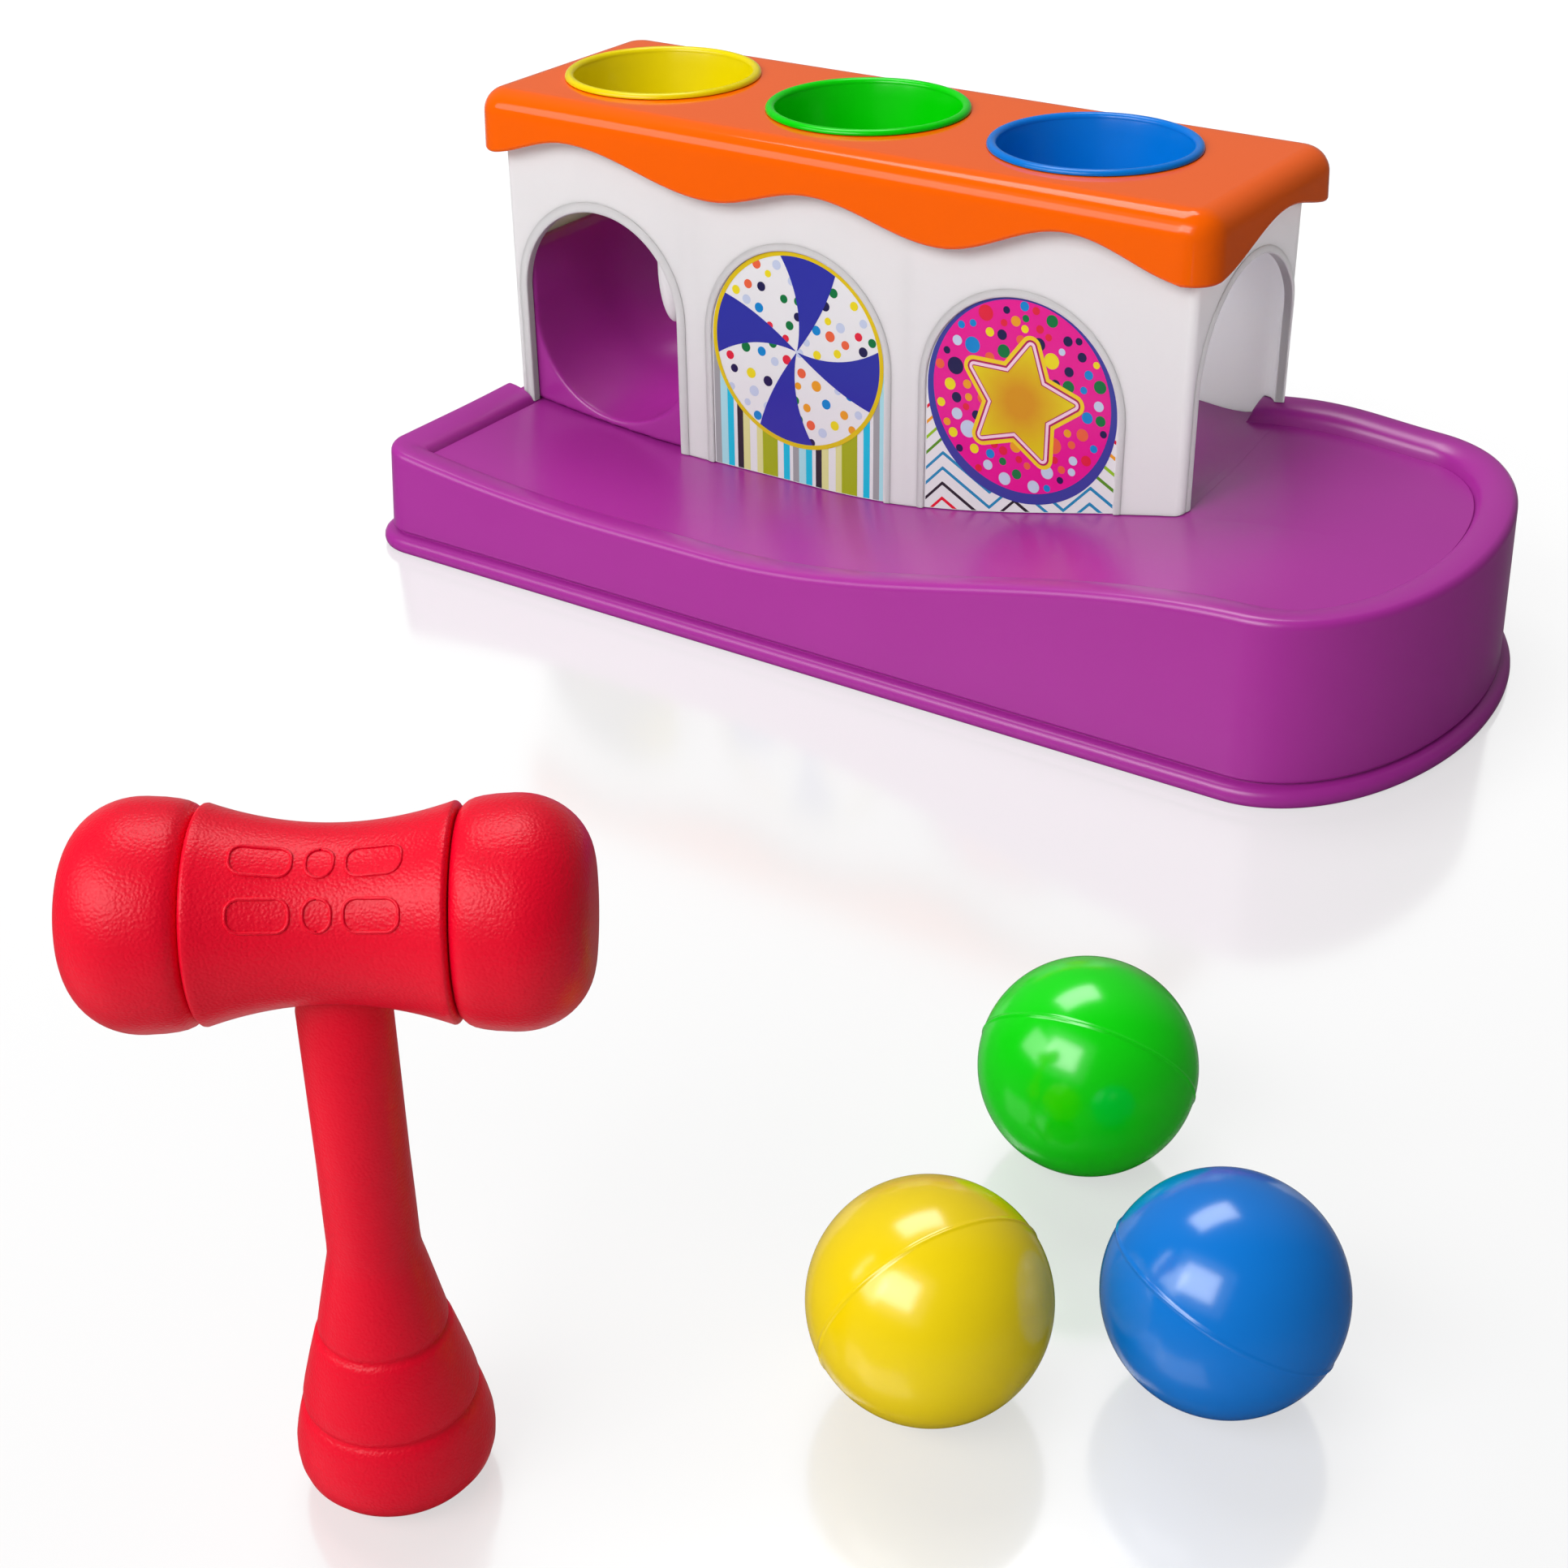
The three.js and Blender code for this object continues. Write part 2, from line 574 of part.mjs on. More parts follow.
// Ramp: the inner floor of the other two bays, falling to the open end arch.
function makeRamp() {
  const { y0, y1 } = HOUSE;
  const profile = new THREE.Shape();
  profile.moveTo(RAMP.x0, 12);
  profile.lineTo(HOUSE.x1, 12);
  profile.lineTo(HOUSE.x1, rampHeight(HOUSE.x1));
  profile.lineTo(RAMP.x0, RAMP.zHigh);
  const across = y1 - y0;
  let ramp = solid(extruded(profile, across).rotateX(Math.PI / 2).translate(0, y1, 0));
  ramp = ramp.intersect(solid(extruded(houseOutline(WALL + GAP), 70)));
  ramp = ramp.subtract(apronCutter());
  [[RAMP.x0 + WALL, 10], [21, 70]].forEach(([hollow0, hollow1]) => {
    ramp = ramp.subtract(box(hollow0, hollow1, y0 + 6, y1 - 6, 10, RAMP.zLow - 3));
  });
  POSTS.forEach(([x, y]) => {
    const edge = y < 0 ? [y0, y] : [y, y1];
    ramp = ramp.subtract(upright(x, y, 3.8 + GAP, 0, 60, 8));
    ramp = ramp.subtract(box(x - 3.8, x + 3.8, ...edge, 0, 60));
  });
  RAMP_SCREWS.forEach(([x, y]) => {
    ramp = ramp.subtract(upright(x, y, SCREW.r + GAP, 0, deckHeight(x, y) + 8, 6));
  });
  return standOnDeck(ramp);
}

// Printed label: fills an arched recess, with its foot cut to the deck.
function makeLabel(x) {
  const { z, r, depth } = PANEL_ARCH;
  const thickness = 0.4;
  const front = HOUSE.y0 + depth - GAP - thickness;
  return standOnDeck(archBlock(x, z, r - 0.7, front, thickness));
}

// Self-tapping screw, head down, with its seat at the given height.
function screwGeometry(length) {
  const { r, head, headHeight } = SCREW;
  const profile = [
    [0, -headHeight], [head - 0.6, -headHeight], [head, 0], [r, 0], [r, length - 2.5],
    [0, length],
  ];
  const points = profile.map(([x, y]) => new THREE.Vector2(x, y));
  return new THREE.LatheGeometry(points, 6).rotateX(Math.PI / 2);
}

// Ball: blow-moulded, with the faint ridge of its mould seam round the middle.
function ballGeometry() {
  const bands = 5;
  const seam = [[-1, 0], [0, 0.25], [1, 0]];
  const points = [];
  for (let k = 0; k < bands; k += 1) {
    const a = -Math.PI / 2 + (k / bands) * (Math.PI / 2);
    points.push(new THREE.Vector2(BALL_R * Math.cos(a), BALL_R * Math.sin(a)));
  }
  points[0].x = 0;
  seam.forEach(([h, proud]) => {
    points.push(new THREE.Vector2(Math.sqrt(BALL_R ** 2 - h ** 2) + proud, h));
  });
  for (let k = bands - 1; k >= 0; k -= 1) {
    points.push(new THREE.Vector2(points[k].x, -points[k].y));
  }
  return new THREE.LatheGeometry(points, 20);
}

// Hammer head: a waisted barrel with a spigot at each end for a domed cap.
const CAP_LENGTH = 20.5;
const GROOVE = 1;
const HAMMER_FACETS = 22;
function revolved(profile, segments) {
  const points = profile.map(([r, h]) => new THREE.Vector2(r, h));
  return new THREE.LatheGeometry(points, segments);
}

function makeBarrel() {
  const half = HAMMER.headLength / 2 - CAP_LENGTH - GROOVE / 2;
  const spigot = half + 8;
  const endR = 17.4;
  const waistR = 14.1;
  const profile = [[0, -spigot], [10.8, -spigot], [11.2, -half - 7.5], [11.2, -half]];
  profile.push([endR - 1.3, -half]);
  const steps = 8;
  for (let k = 0; k <= steps; k += 1) {
    const h = (half - 0.8) * ((2 * k) / steps - 1);
    const swell = Math.abs(h / (half - 0.8)) ** 2;
    profile.push([waistR + (endR - waistR) * swell, h]);
  }
  profile.push([endR - 1.3, half], [11.2, half], [11.2, half + 7.5], [10.8, spigot], [0, spigot]);
  const barrel = solid(revolved(profile, HAMMER_FACETS).rotateZ(-Math.PI / 2));
  return barrel.subtract(upright(0, 0, HANDLE_R - 0.2 + GAP, -30, 8, 16));
}

function capGeometry() {
  const seat = HAMMER.headLength / 2 - CAP_LENGTH + GROOVE / 2;
  const end = HAMMER.headLength / 2;
  const r = HAMMER.capR;
  const profile = [
    [0, seat + 8.3], [11.5, seat + 8.3], [11.5, seat], [r - 2, seat], [r - 1, seat + 0.8],
    [r - 0.2, seat + 4], [r, seat + 7.5],
  ];
  const dome = { across: 0.58 * r, along: end - seat - 8.4 };
  const steps = 5;
  for (let k = 0; k < steps; k += 1) {
    const a = ((k + 0.5) / steps) * (Math.PI / 2);
    profile.push([
      r - dome.across * (1 - Math.cos(a)),
      end - 0.3 - dome.along * (1 - Math.sin(a)),
    ]);
  }
  profile.push([0.36 * r, end - 0.2], [0, end]);
  return revolved(profile, HAMMER_FACETS).rotateZ(-Math.PI / 2);
}

// Handle: a slim stem that flares into a butt with two grooves, flat where it stands.
function handleGeometry() {
  const top = HAMMER.headZ + 7;
  const profile = [
    [0, 0], [9, 0], [13.6, 1.6], [16.7, 4.8], [17.4, 8.6], [16.9, 13], [15.7, 18],
    [15, 18.9], [15.2, 20], [14.8, 22.4], [11.9, 33.4], [11, 34.2], [11.2, 35.4],
    [10.2, 40], [8.7, 47], [8, 56], [HANDLE_R, 70], [HANDLE_R, 100.6],
    [HANDLE_R - 0.2, 101], [HANDLE_R - 0.2, top], [0, top],
  ];
  return revolved(profile, 18).rotateX(Math.PI / 2);
}

// Assembly
const set = new THREE.Group();

function place(parent, name, shape, material) {
  const geometry = shape.isBufferGeometry ? shape : toGeometry(shape);
  const mesh = new THREE.Mesh(geometry, MATERIALS[material]);
  mesh.name = name;
  parent.add(mesh);
  return mesh;
}

place(set, 'tray', makeTray(), 'purple');
place(set, 'house', makeHouse(), 'white');
place(set, 'roof', makeRoof(), 'orange');
place(set, 'ball_scoop', makeScoop(), 'purple');
place(set, 'ball_ramp', makeRamp(), 'purple');
Object.entries(PANEL_XS).forEach(([name, x]) => {
  place(set, `label_${name}`, makeLabel(x), 'print');
});
Object.entries(CUP_XS).forEach(([colour, x]) => {
  place(set, `cup_${colour}`, cupGeometry(), colour).position.x = x;
});

function placeScrews(name, places, seat, length) {
  places.forEach(([x, y], k) => {
    const screw = place(set, `${name}_${k + 1}`, screwGeometry(length), 'steel');
    screw.position.set(x, y, seat(x, y));
  });
}
const deckSeat = (x, y) => deckHeight(x, y) - BOSS_SEAT - GAP;
placeScrews('screw_house', POSTS, deckSeat, DECK_SCREW_LENGTH);
placeScrews('screw_scoop', SCOOP_SCREWS, deckSeat, DECK_SCREW_LENGTH);
placeScrews('screw_ramp', RAMP_SCREWS, deckSeat, DECK_SCREW_LENGTH);
placeScrews('screw_roof', LUGS, () => LUG_Z - GAP, ROOF_SCREW_LENGTH);

Object.entries(BALLS).forEach(([colour, { at, tilt }]) => {
  const ball = place(set, `ball_${colour}`, ballGeometry(), colour);
  ball.position.set(at[0], at[1], BALL_R);
  ball.rotation.set(
    Math.PI / 2 + THREE.MathUtils.degToRad(tilt[0]), 0, THREE.MathUtils.degToRad(tilt[1]),
  );
});

const hammer = new THREE.Group();
hammer.position.set(HAMMER.at[0], HAMMER.at[1], 0);
hammer.rotation.z = THREE.MathUtils.degToRad(HAMMER.turn);
set.add(hammer);
place(hammer, 'hammer_handle', handleGeometry(), 'red');
place(hammer, 'hammer_barrel', makeBarrel(), 'red').position.z = HAMMER.headZ;
place(hammer, 'hammer_cap_right', capGeometry(), 'red').position.z = HAMMER.headZ;
const leftCap = place(hammer, 'hammer_cap_left', capGeometry(), 'red');
leftCap.position.z = HAMMER.headZ;
leftCap.rotation.z = Math.PI;

// The set's origin is on the table, under the middle of its own box.
const middle = new THREE.Box3().setFromObject(set, true).getCenter(new THREE.Vector3());
set.position.set(-middle.x, -middle.y, 0);
const group = new THREE.Group();
group.add(set);

export default group;
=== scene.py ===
import math

import bmesh
import bpy
import numpy as np
from mathutils import Matrix, Vector


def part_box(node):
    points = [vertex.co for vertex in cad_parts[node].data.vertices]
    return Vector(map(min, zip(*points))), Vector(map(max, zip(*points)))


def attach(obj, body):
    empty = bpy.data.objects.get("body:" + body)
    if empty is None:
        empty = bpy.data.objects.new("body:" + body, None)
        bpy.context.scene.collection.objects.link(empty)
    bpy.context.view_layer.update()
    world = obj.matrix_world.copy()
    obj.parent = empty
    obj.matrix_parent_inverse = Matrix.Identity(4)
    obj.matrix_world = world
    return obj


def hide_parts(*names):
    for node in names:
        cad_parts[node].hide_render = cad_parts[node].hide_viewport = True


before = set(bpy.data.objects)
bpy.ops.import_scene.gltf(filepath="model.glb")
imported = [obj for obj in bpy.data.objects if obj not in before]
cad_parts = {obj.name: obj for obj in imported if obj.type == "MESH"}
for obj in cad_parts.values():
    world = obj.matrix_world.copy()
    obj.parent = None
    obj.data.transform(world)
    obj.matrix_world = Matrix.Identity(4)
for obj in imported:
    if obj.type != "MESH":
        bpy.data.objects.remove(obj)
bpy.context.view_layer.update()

# Bench frame
# The bench is drawn in millimetres from the axis of the middle cup, with z = 0 on the table.
# The tray's own low corner says where that axis is in the frame.
MM = 0.001
TRAY_X0, TRAY_Y0, TRAY_X1, TRAY_Y1 = -120, -108.5, 221, 39.5
tray_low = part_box("tray")[0]
BENCH = Vector((tray_low[0] - TRAY_X0 * MM, tray_low[1] - TRAY_Y0 * MM, 0))

# Camera
# The photograph's own view of the bench, found by fitting a pinhole camera to the cup rims,
# roof, arches and tray edge. The lens has no shift.
PHOTO_SIDE = 1932
FOCAL_PIXELS = 3000
CAMERA_AT = (391, -619.7, 325.1)
LOOK_ALONG = Vector((-0.4880, 0.7116, -0.5055))
ROLL = math.radians(-0.78)


def add_object(name, data):
    """A new object in the scene."""
    new = bpy.data.objects.new(name, data)
    bpy.context.scene.collection.objects.link(new)
    return new


camera_data = bpy.data.cameras.new("photo_camera")
camera_data.sensor_width = 36
camera_data.lens = FOCAL_PIXELS / PHOTO_SIDE * camera_data.sensor_width
camera_data.clip_start = 0.01
camera = add_object("photo_camera", camera_data)
turn = LOOK_ALONG.to_track_quat("-Z", "Y").to_matrix().to_4x4()
camera.matrix_world = (
    Matrix.Translation(BENCH + MM * Vector(CAMERA_AT)) @ turn @ Matrix.Rotation(ROLL, 4, "Z")
)
bpy.context.scene.camera = camera

# Tray shape
# One purple polypropylene moulding: the deck dips, climbs in a half wave and curls round
# behind the house; the rim stands on its edge, and the wall under it has draft and a bead.
HOUSE_X0, HOUSE_X1, HOUSE_Y0, HOUSE_Y1 = -109.8, 129.5, -40, 34.3
DECK_LOW, DECK_HIGH = 23.3, 48.6
LOW_X, LEFT_RISE = -28, 7.7
CLIMB_X, CLIMB_LENGTH = 9, 174
CROWN = 2.6
RIM_LOW, RIM_HIGH = 3.2, 5.4
TRAY_CORNER, ROUND_END_X = 15, 176.6
TRAY_MIDDLE = (TRAY_Y0 + TRAY_Y1) / 2
TRAY_HALF = (TRAY_Y1 - TRAY_Y0) / 2


def half_wave(a, b, u):
    """From a at u = 0 to b at u = 1, flat at both ends."""
    return a + (b - a) * (1 - np.cos(np.pi * np.clip(u, 0, 1))) / 2


def deck_height(x, y):
    """Height of the deck's top face."""
    along = x + 0.35 * np.maximum(0, y - HOUSE_Y0)
    left = DECK_LOW + LEFT_RISE * ((x - LOW_X) / (TRAY_X0 - LOW_X)) ** 2
    climb = half_wave(DECK_LOW, DECK_HIGH, (along - CLIMB_X) / CLIMB_LENGTH)
    crown = half_wave(0, CROWN, (x - 85) / 40) * half_wave(1, -0.3, (x - 132) / 58)
    return np.where(x < LOW_X, left, climb) + crown * half_wave(0, 1, (y + 12) / 36)


def rim_share(x, y):
    """1 where the rim stands, 0 where the house is on the tray's edge instead."""
    left_end = np.clip((HOUSE_Y0 - 0.35 - y) / 0.5, 0, 1)
    back_end = np.clip((x - 119.3) / 2, 0, 1)
    return np.sin(np.maximum(left_end, back_end) * np.pi / 2)


def rim_height(x, y):
    """How far the rim stands above the deck."""
    return half_wave(RIM_LOW, RIM_HIGH, (y + 70) / 100) * rim_share(x, y)


def stations(inset, x0, x1, half, corner, straights, ellipse_x=None):
    """Outline points (x, half width), from the left end to the right end."""
    arc = np.linspace(0, np.pi / 2, 11)
    r = max(corner - inset, 0.8)
    left = np.stack([x0 + inset + r - r * np.cos(arc), half - inset - r + r * np.sin(arc)], 1)
    straight = np.stack([straights, np.full(len(straights), half - inset)], 1)
    if ellipse_x is None:
        right = np.stack([x1 - inset - left[::-1, 0] + x0 + inset, left[::-1, 1]], 1)
    else:
        turn_right = np.linspace(np.pi / 2, 0.012, 60)
        right = np.stack([ellipse_x + (x1 - ellipse_x - inset) * np.cos(turn_right),
                          (half - inset) * np.sin(turn_right)], 1)
    return np.concatenate([left, straight, right])


def banded_mesh(outline, middle_y, rows, rings, top_height, bottom_height):
    """A closed moulding: rings at their own insets and heights, closed at top and bottom."""
    count, last = len(outline(0)), len(rows) - 1
    loop = [(i, 0) for i in range(count)] + [(count - 1, j) for j in range(1, last)]
    loop += [(i, last) for i in range(count - 1, -1, -1)]
    loop += [(0, j) for j in range(last - 1, 0, -1)]
    loop_i = np.array([i for i, j in loop])
    loop_y = np.array([rows[j] for i, j in loop])
    vertices, faces = [], []
    for inset, height in rings:
        points = outline(inset)
        x, y = points[loop_i, 0], middle_y + points[loop_i, 1] * loop_y
        vertices += np.stack([x, y, height(x, y) + 0 * x], 1).tolist()
    n = len(loop)
    for band in range(len(rings) - 1):
        for k in range(n):
            a, b = band * n + k, band * n + (k + 1) % n
            faces.append((a, a + n, b + n, b))
    for ring, height, upward in ((0, top_height, True), (len(rings) - 1, bottom_height, False)):
        points = outline(rings[ring][0])
        ids = {place: ring * n + k for k, place in enumerate(loop)}
        for i in range(count):
            for j in range(last + 1):
                if (i, j) not in ids:
                    x, y = points[i, 0], middle_y + points[i, 1] * rows[j]
                    ids[i, j] = len(vertices)
                    vertices.append((x, y, float(height(x, y))))
        for i in range(count - 1):
            for j in range(last):
                quad = (ids[i, j], ids[i + 1, j], ids[i + 1, j + 1], ids[i, j + 1])
                faces.append(quad if upward else quad[::-1])
    return vertices, faces


# Tray
# Injection-moulded polypropylene with a satin mould finish. The underside is open, with ribs
# and screw bosses, and the bead at the foot stiffens the edge.


def linear(hex_colour):
    """An sRGB hex colour as the linear colour that a shader socket takes."""
    parts = [int(hex_colour[i:i + 2], 16) / 255 for i in (1, 3, 5)]
    return [c / 12.92 if c <= 0.04045 else ((c + 0.055) / 1.055) ** 2.4 for c in parts] + [1.0]


def add_node(tree, kind, inputs=None, **settings):
    """Adds one node. Inputs are values, or sockets of other nodes to link from."""
    new = tree.nodes.new(kind)
    for name, value in settings.items():
        setattr(new, name, value)
    for socket, value in (inputs or {}).items():
        if isinstance(value, bpy.types.NodeSocket):
            tree.links.new(value, new.inputs[socket])
        else:
            new.inputs[socket].default_value = value
    return new


def new_material(name, **values):
    """A material, its node tree and its shader, with the shader's constants set by name."""
    material = bpy.data.materials.new(name)
    material.use_nodes = True
    shader = material.node_tree.nodes["Principled BSDF"]
    for socket, value in values.items():
        shader.inputs[socket.replace("_", " ")].default_value = value
    return material, material.node_tree, shader


def moulded(name, colour, roughness, specular, grain=0.25, grain_bump=0.02, mottle=0.03,
            depth=0.0):
    """Moulded plastic: even colour with a slight flow mottle and the mould's fine texture.

    Light goes the given depth in millimetres into a thin pale wall."""
    material, tree, shader = new_material(name, IOR=1.49, Specular_IOR_Level=specular)
    if depth:
        shader.inputs["Subsurface Weight"].default_value = 0.6
        shader.inputs["Subsurface Radius"].default_value = (1, 1, 1)
        shader.inputs["Subsurface Scale"].default_value = depth * MM
    place = add_node(tree, "ShaderNodeTexCoord").outputs["Object"]
    flow = add_node(tree, "ShaderNodeTexNoise", {"Vector": place, "Scale": 30, "Detail": 3})
    base = linear(colour)
    dark = [c * (1 - mottle) for c in base[:3]] + [1]
    light = [min(1, c * (1 + mottle)) for c in base[:3]] + [1]
    tint = add_node(tree, "ShaderNodeMix",
                    {"Factor": flow.outputs["Fac"], "A": dark, "B": light}, data_type="RGBA")
    tree.links.new(tint.outputs["Result"], shader.inputs["Base Color"])
    gloss = add_node(tree, "ShaderNodeMapRange", {
        "Value": flow.outputs["Fac"], "To Min": roughness * 0.9, "To Max": roughness * 1.1})
    tree.links.new(gloss.outputs["Result"], shader.inputs["Roughness"])
    texture = add_node(tree, "ShaderNodeTexNoise", {
        "Vector": place, "Scale": 1 / (grain * MM * 4), "Detail": 2, "Roughness": 0.6})
    bump = add_node(tree, "ShaderNodeBump", {
        "Height": texture.outputs["Fac"], "Strength": 0.5, "Distance": grain_bump * MM})
    tree.links.new(bump.outputs["Normal"], shader.inputs["Normal"])
    return material


# Satin polypropylene: broad soft highlights on an even, strong purple. What it throws back on
# the white walls is nearly neutral in the photograph.
satin_purple = moulded("satin_purple_polypropylene", "#AD2A9C", 0.31, 0.62, grain=0.3)
THROWN_BACK, NEUTRAL_SHARE = "#8C848A", 0.65
purple_tree = satin_purple.node_tree
purple_colour = purple_tree.nodes["Principled BSDF"].inputs["Base Color"]
purple_ray = add_node(purple_tree, "ShaderNodeLightPath")
purple_share = add_node(purple_tree, "ShaderNodeMath", {
    0: purple_ray.outputs["Is Diffuse Ray"], 1: NEUTRAL_SHARE}, operation="MULTIPLY")
purple_mix = add_node(purple_tree, "ShaderNodeMix", {
    "Factor": purple_share.outputs["Value"], "A": purple_colour.links[0].from_socket,
    "B": linear(THROWN_BACK)}, data_type="RGBA")
purple_tree.links.new(purple_mix.outputs["Result"], purple_colour)
STRAIGHTS = np.concatenate([np.arange(-103, 118, 3.4), np.arange(118, 123, 0.5),
                            np.arange(124, 176, 3.4)])
ROWS = np.concatenate([np.linspace(-1, -0.14, 18), np.linspace(-0.135, -0.075, 16),
                       np.linspace(-0.06, 1, 24)])


def tray_outline(inset):
    return stations(inset, TRAY_X0, TRAY_X1, TRAY_HALF, TRAY_CORNER, STRAIGHTS, ROUND_END_X)


def flat(z):
    return lambda x, y: z


def on_rim(share, drop=0.0):
    return lambda x, y: deck_height(x, y) + share * rim_height(x, y) - drop


def under_deck(x, y):
    return deck_height(x, y) - 2.4


def crease(x, y):
    """The fine groove between the deck and the rim."""
    return deck_height(x, y) - 0.45 * rim_share(x, y)


def rim_rings(gap=0.0):
    """The deck's edge, the rim's broad round back and its outer corner, with a gap round them."""
    rings = [(16.4, on_rim(0, -gap)), (16.1, on_rim(0, -gap) if gap else crease)]
    for inset, share in ((15.8, 0.12), (15.5, 0.32), (15, 0.52), (14.2, 0.68), (13, 0.81),
                         (11.5, 0.91), (10, 0.97), (8.6, 1)):
        rings.append((inset, on_rim(share, -gap)))
    for step in range(1, 8):
        angle = step * math.pi / 14
        rings.append((7.1 - (2.6 + gap) * math.sin(angle),
                      on_rim(1, 2.6 * (1 - math.cos(angle)) - gap)))
    return rings


def new_piece(name, vertices, faces, material=None, sharp=40, origin=BENCH):
    """A mesh object at the frame's origin, from points in millimetres about the given origin."""
    mesh = bpy.data.meshes.new(name)
    mesh.from_pydata([tuple(origin + MM * Vector(v)) for v in vertices], [], faces)
    work = bmesh.new()
    work.from_mesh(mesh)
    bmesh.ops.remove_doubles(work, verts=work.verts, dist=1e-6)
    bmesh.ops.recalc_face_normals(work, faces=work.faces)
    work.to_mesh(mesh)
    work.free()
    mesh.polygons.foreach_set("use_smooth", [True] * len(mesh.polygons))
    mesh.set_sharp_from_angle(angle=math.radians(sharp))
    if material:
        mesh.materials.append(material)
    return add_object(name, mesh)


tray_rings = rim_rings() + [
    (3.2, flat(7.4)), (3.15, flat(6.8)), (3.2, flat(6.4)), (3.45, flat(6.05)), (3.9, flat(5.9)),
    (4.1, flat(5.6)), (4.0, flat(5.3)), (3.4, flat(5.1)), (2.2, flat(5)), (1.2, flat(4.6)),
    (0.5, flat(3.9)), (0.1, flat(3)), (0, flat(2.2)), (0.1, flat(1.3)), (0.45, flat(0.5)),
    (1.0, flat(0)), (5, flat(0)), (5, flat(2)), (7.2, under_deck)]
tray = new_piece("tray_moulding", *banded_mesh(
    tray_outline, TRAY_MIDDLE, ROWS, tray_rings, deck_height, under_deck), satin_purple)

POSTS = [(-36.5, -33.5), (-36.5, 28), (39, -33.5), (39, 28)]
DECK_SCREWS = POSTS + [(-100, 22), (15.5, -3)]
BOSS_SEAT = 8
RIB, RIB_FOOT, RIB_INSET = 1.8, 10, 5.5


def tube(x, y, z0, z1, r_out, r_in):
    """An upright tube, open at both ends."""
    steps = 32
    rings = [(r_out, z0), (r_out, z1), (r_in, z1), (r_in, z0)]
    turns = np.linspace(0, 2 * np.pi, steps, endpoint=False)
    points = [(x + r * math.cos(t), y + r * math.sin(t), z) for r, z in rings for t in turns]
    quads = [(k * steps + i, k * steps + (i + 1) % steps, (k + 1) % 4 * steps + (i + 1) % steps,
              (k + 1) % 4 * steps + i) for k in range(4) for i in range(steps)]
    return points, quads


def plate(path, bottom, top, thickness):
    """A thin upright plate along a path in plan, between two heights along it."""
    path = np.array(path, float)
    along = path[-1] - path[0]
    side = np.array([-along[1], along[0]]) / np.hypot(*along) * thickness / 2
    points, quads = [], []
    for x, y in path:
        for sx, sy in (side, -side):
            points += [(x + sx, y + sy, float(end(x, y))) for end in (bottom, top)]
    for k in range(len(path) - 1):
        a, b = 4 * k, 4 * k + 4
        quads += [(a, b, b + 1, a + 1), (a + 2, a + 3, b + 3, b + 2),
                  (a + 1, b + 1, b + 3, a + 3), (a, a + 2, b + 2, b)]
    n = len(points)
    quads += [(0, 1, 3, 2), (n - 4, n - 2, n - 1, n - 3)]
    return points, quads


def join(target, *others):
    """Joins other pieces' meshes to the target's, with their materials."""
    work = bmesh.new()
    work.from_mesh(target.data)
    for other in others:
        slots = [m.name for m in target.data.materials]
        for material in filter(None, other.data.materials):
            if material.name not in slots:
                target.data.materials.append(material)
                slots.append(material.name)
        for face in other.data.polygons:
            face.material_index = slots.index(other.data.materials[face.material_index].name)
        work.from_mesh(other.data)
        bpy.data.objects.remove(other)
    work.to_mesh(target.data)
    work.free()
    return target


bosses = []
for x, y in DECK_SCREWS:
    deck = float(deck_height(x, y))
    bosses.append(new_piece("boss", *tube(x, y, deck - BOSS_SEAT - 6, deck - 1, 4.6, 3.4),
                            satin_purple))
    bosses.append(new_piece("seat", *tube(x, y, deck - BOSS_SEAT, deck - 1, 3.6, 1.7),
                            satin_purple))
for x in (-77, 0, 110):
    line = [(x, y) for y in np.linspace(TRAY_Y0 + RIB_INSET, TRAY_Y1 - RIB_INSET, 12)]
    bosses.append(new_piece("rib", *plate(line, flat(RIB_FOOT), under_deck, RIB), satin_purple))
long_line = [(x, -74) for x in np.linspace(TRAY_X0 + RIB_INSET, 204, 40)]
bosses.append(new_piece("rib", *plate(long_line, flat(RIB_FOOT), under_deck, RIB), satin_purple))
join(tray, *bosses)
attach(tray, "bench")
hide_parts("tray")

# House
# White ABS moulding on the deck: walls with crisp small corners at the front and rounder ones
# at the back, arches cut in the front and the end, and a shallow recess for each label.
# Satin ABS in a thin wall: a little light goes into it, so its shadows stay soft.
satin_white = moulded("satin_white_abs", "#ECEAEB", 0.31, 0.5, mottle=0.01, depth=3)
WALL = 2.4
FRONT_CORNER, BACK_CORNER = 2.5, 10
DECK_GAP = 0.3
POST_TOP, LUG_LOW, LUG_HIGH = 111, 115, 118
ROOF_TOP = 130.6
HOUSE_TOP = ROOF_TOP - 2.8
OPEN_ARCH = (-74.2, 67, 29.8)
PANELS = {"middle": 0, "right": 77}
PANEL_Z, PANEL_R, PANEL_DEPTH = 65.6, 32.1, 1.2
END_ARCH = (-3.3, 76.7, 31.5)
ARCH_LEGS = 60


def house_plan(inset):
    """The house's outline in plan, anticlockwise."""
    front, back = max(FRONT_CORNER - inset, 0.4), BACK_CORNER - inset
    corners = [(HOUSE_X0 + inset + front, HOUSE_Y0 + inset + front, front, 180),
               (HOUSE_X1 - inset - front, HOUSE_Y0 + inset + front, front, 270),
               (HOUSE_X1 - inset - back, HOUSE_Y1 - inset - back, back, 0),
               (HOUSE_X0 + inset + back, HOUSE_Y1 - inset - back, back, 90)]
    points = []
    for cx, cy, r, start in corners:
        for step in range(9):
            a = math.radians(start + step * 11.25)
            points.append((cx + r * math.cos(a), cy + r * math.sin(a)))
    return points


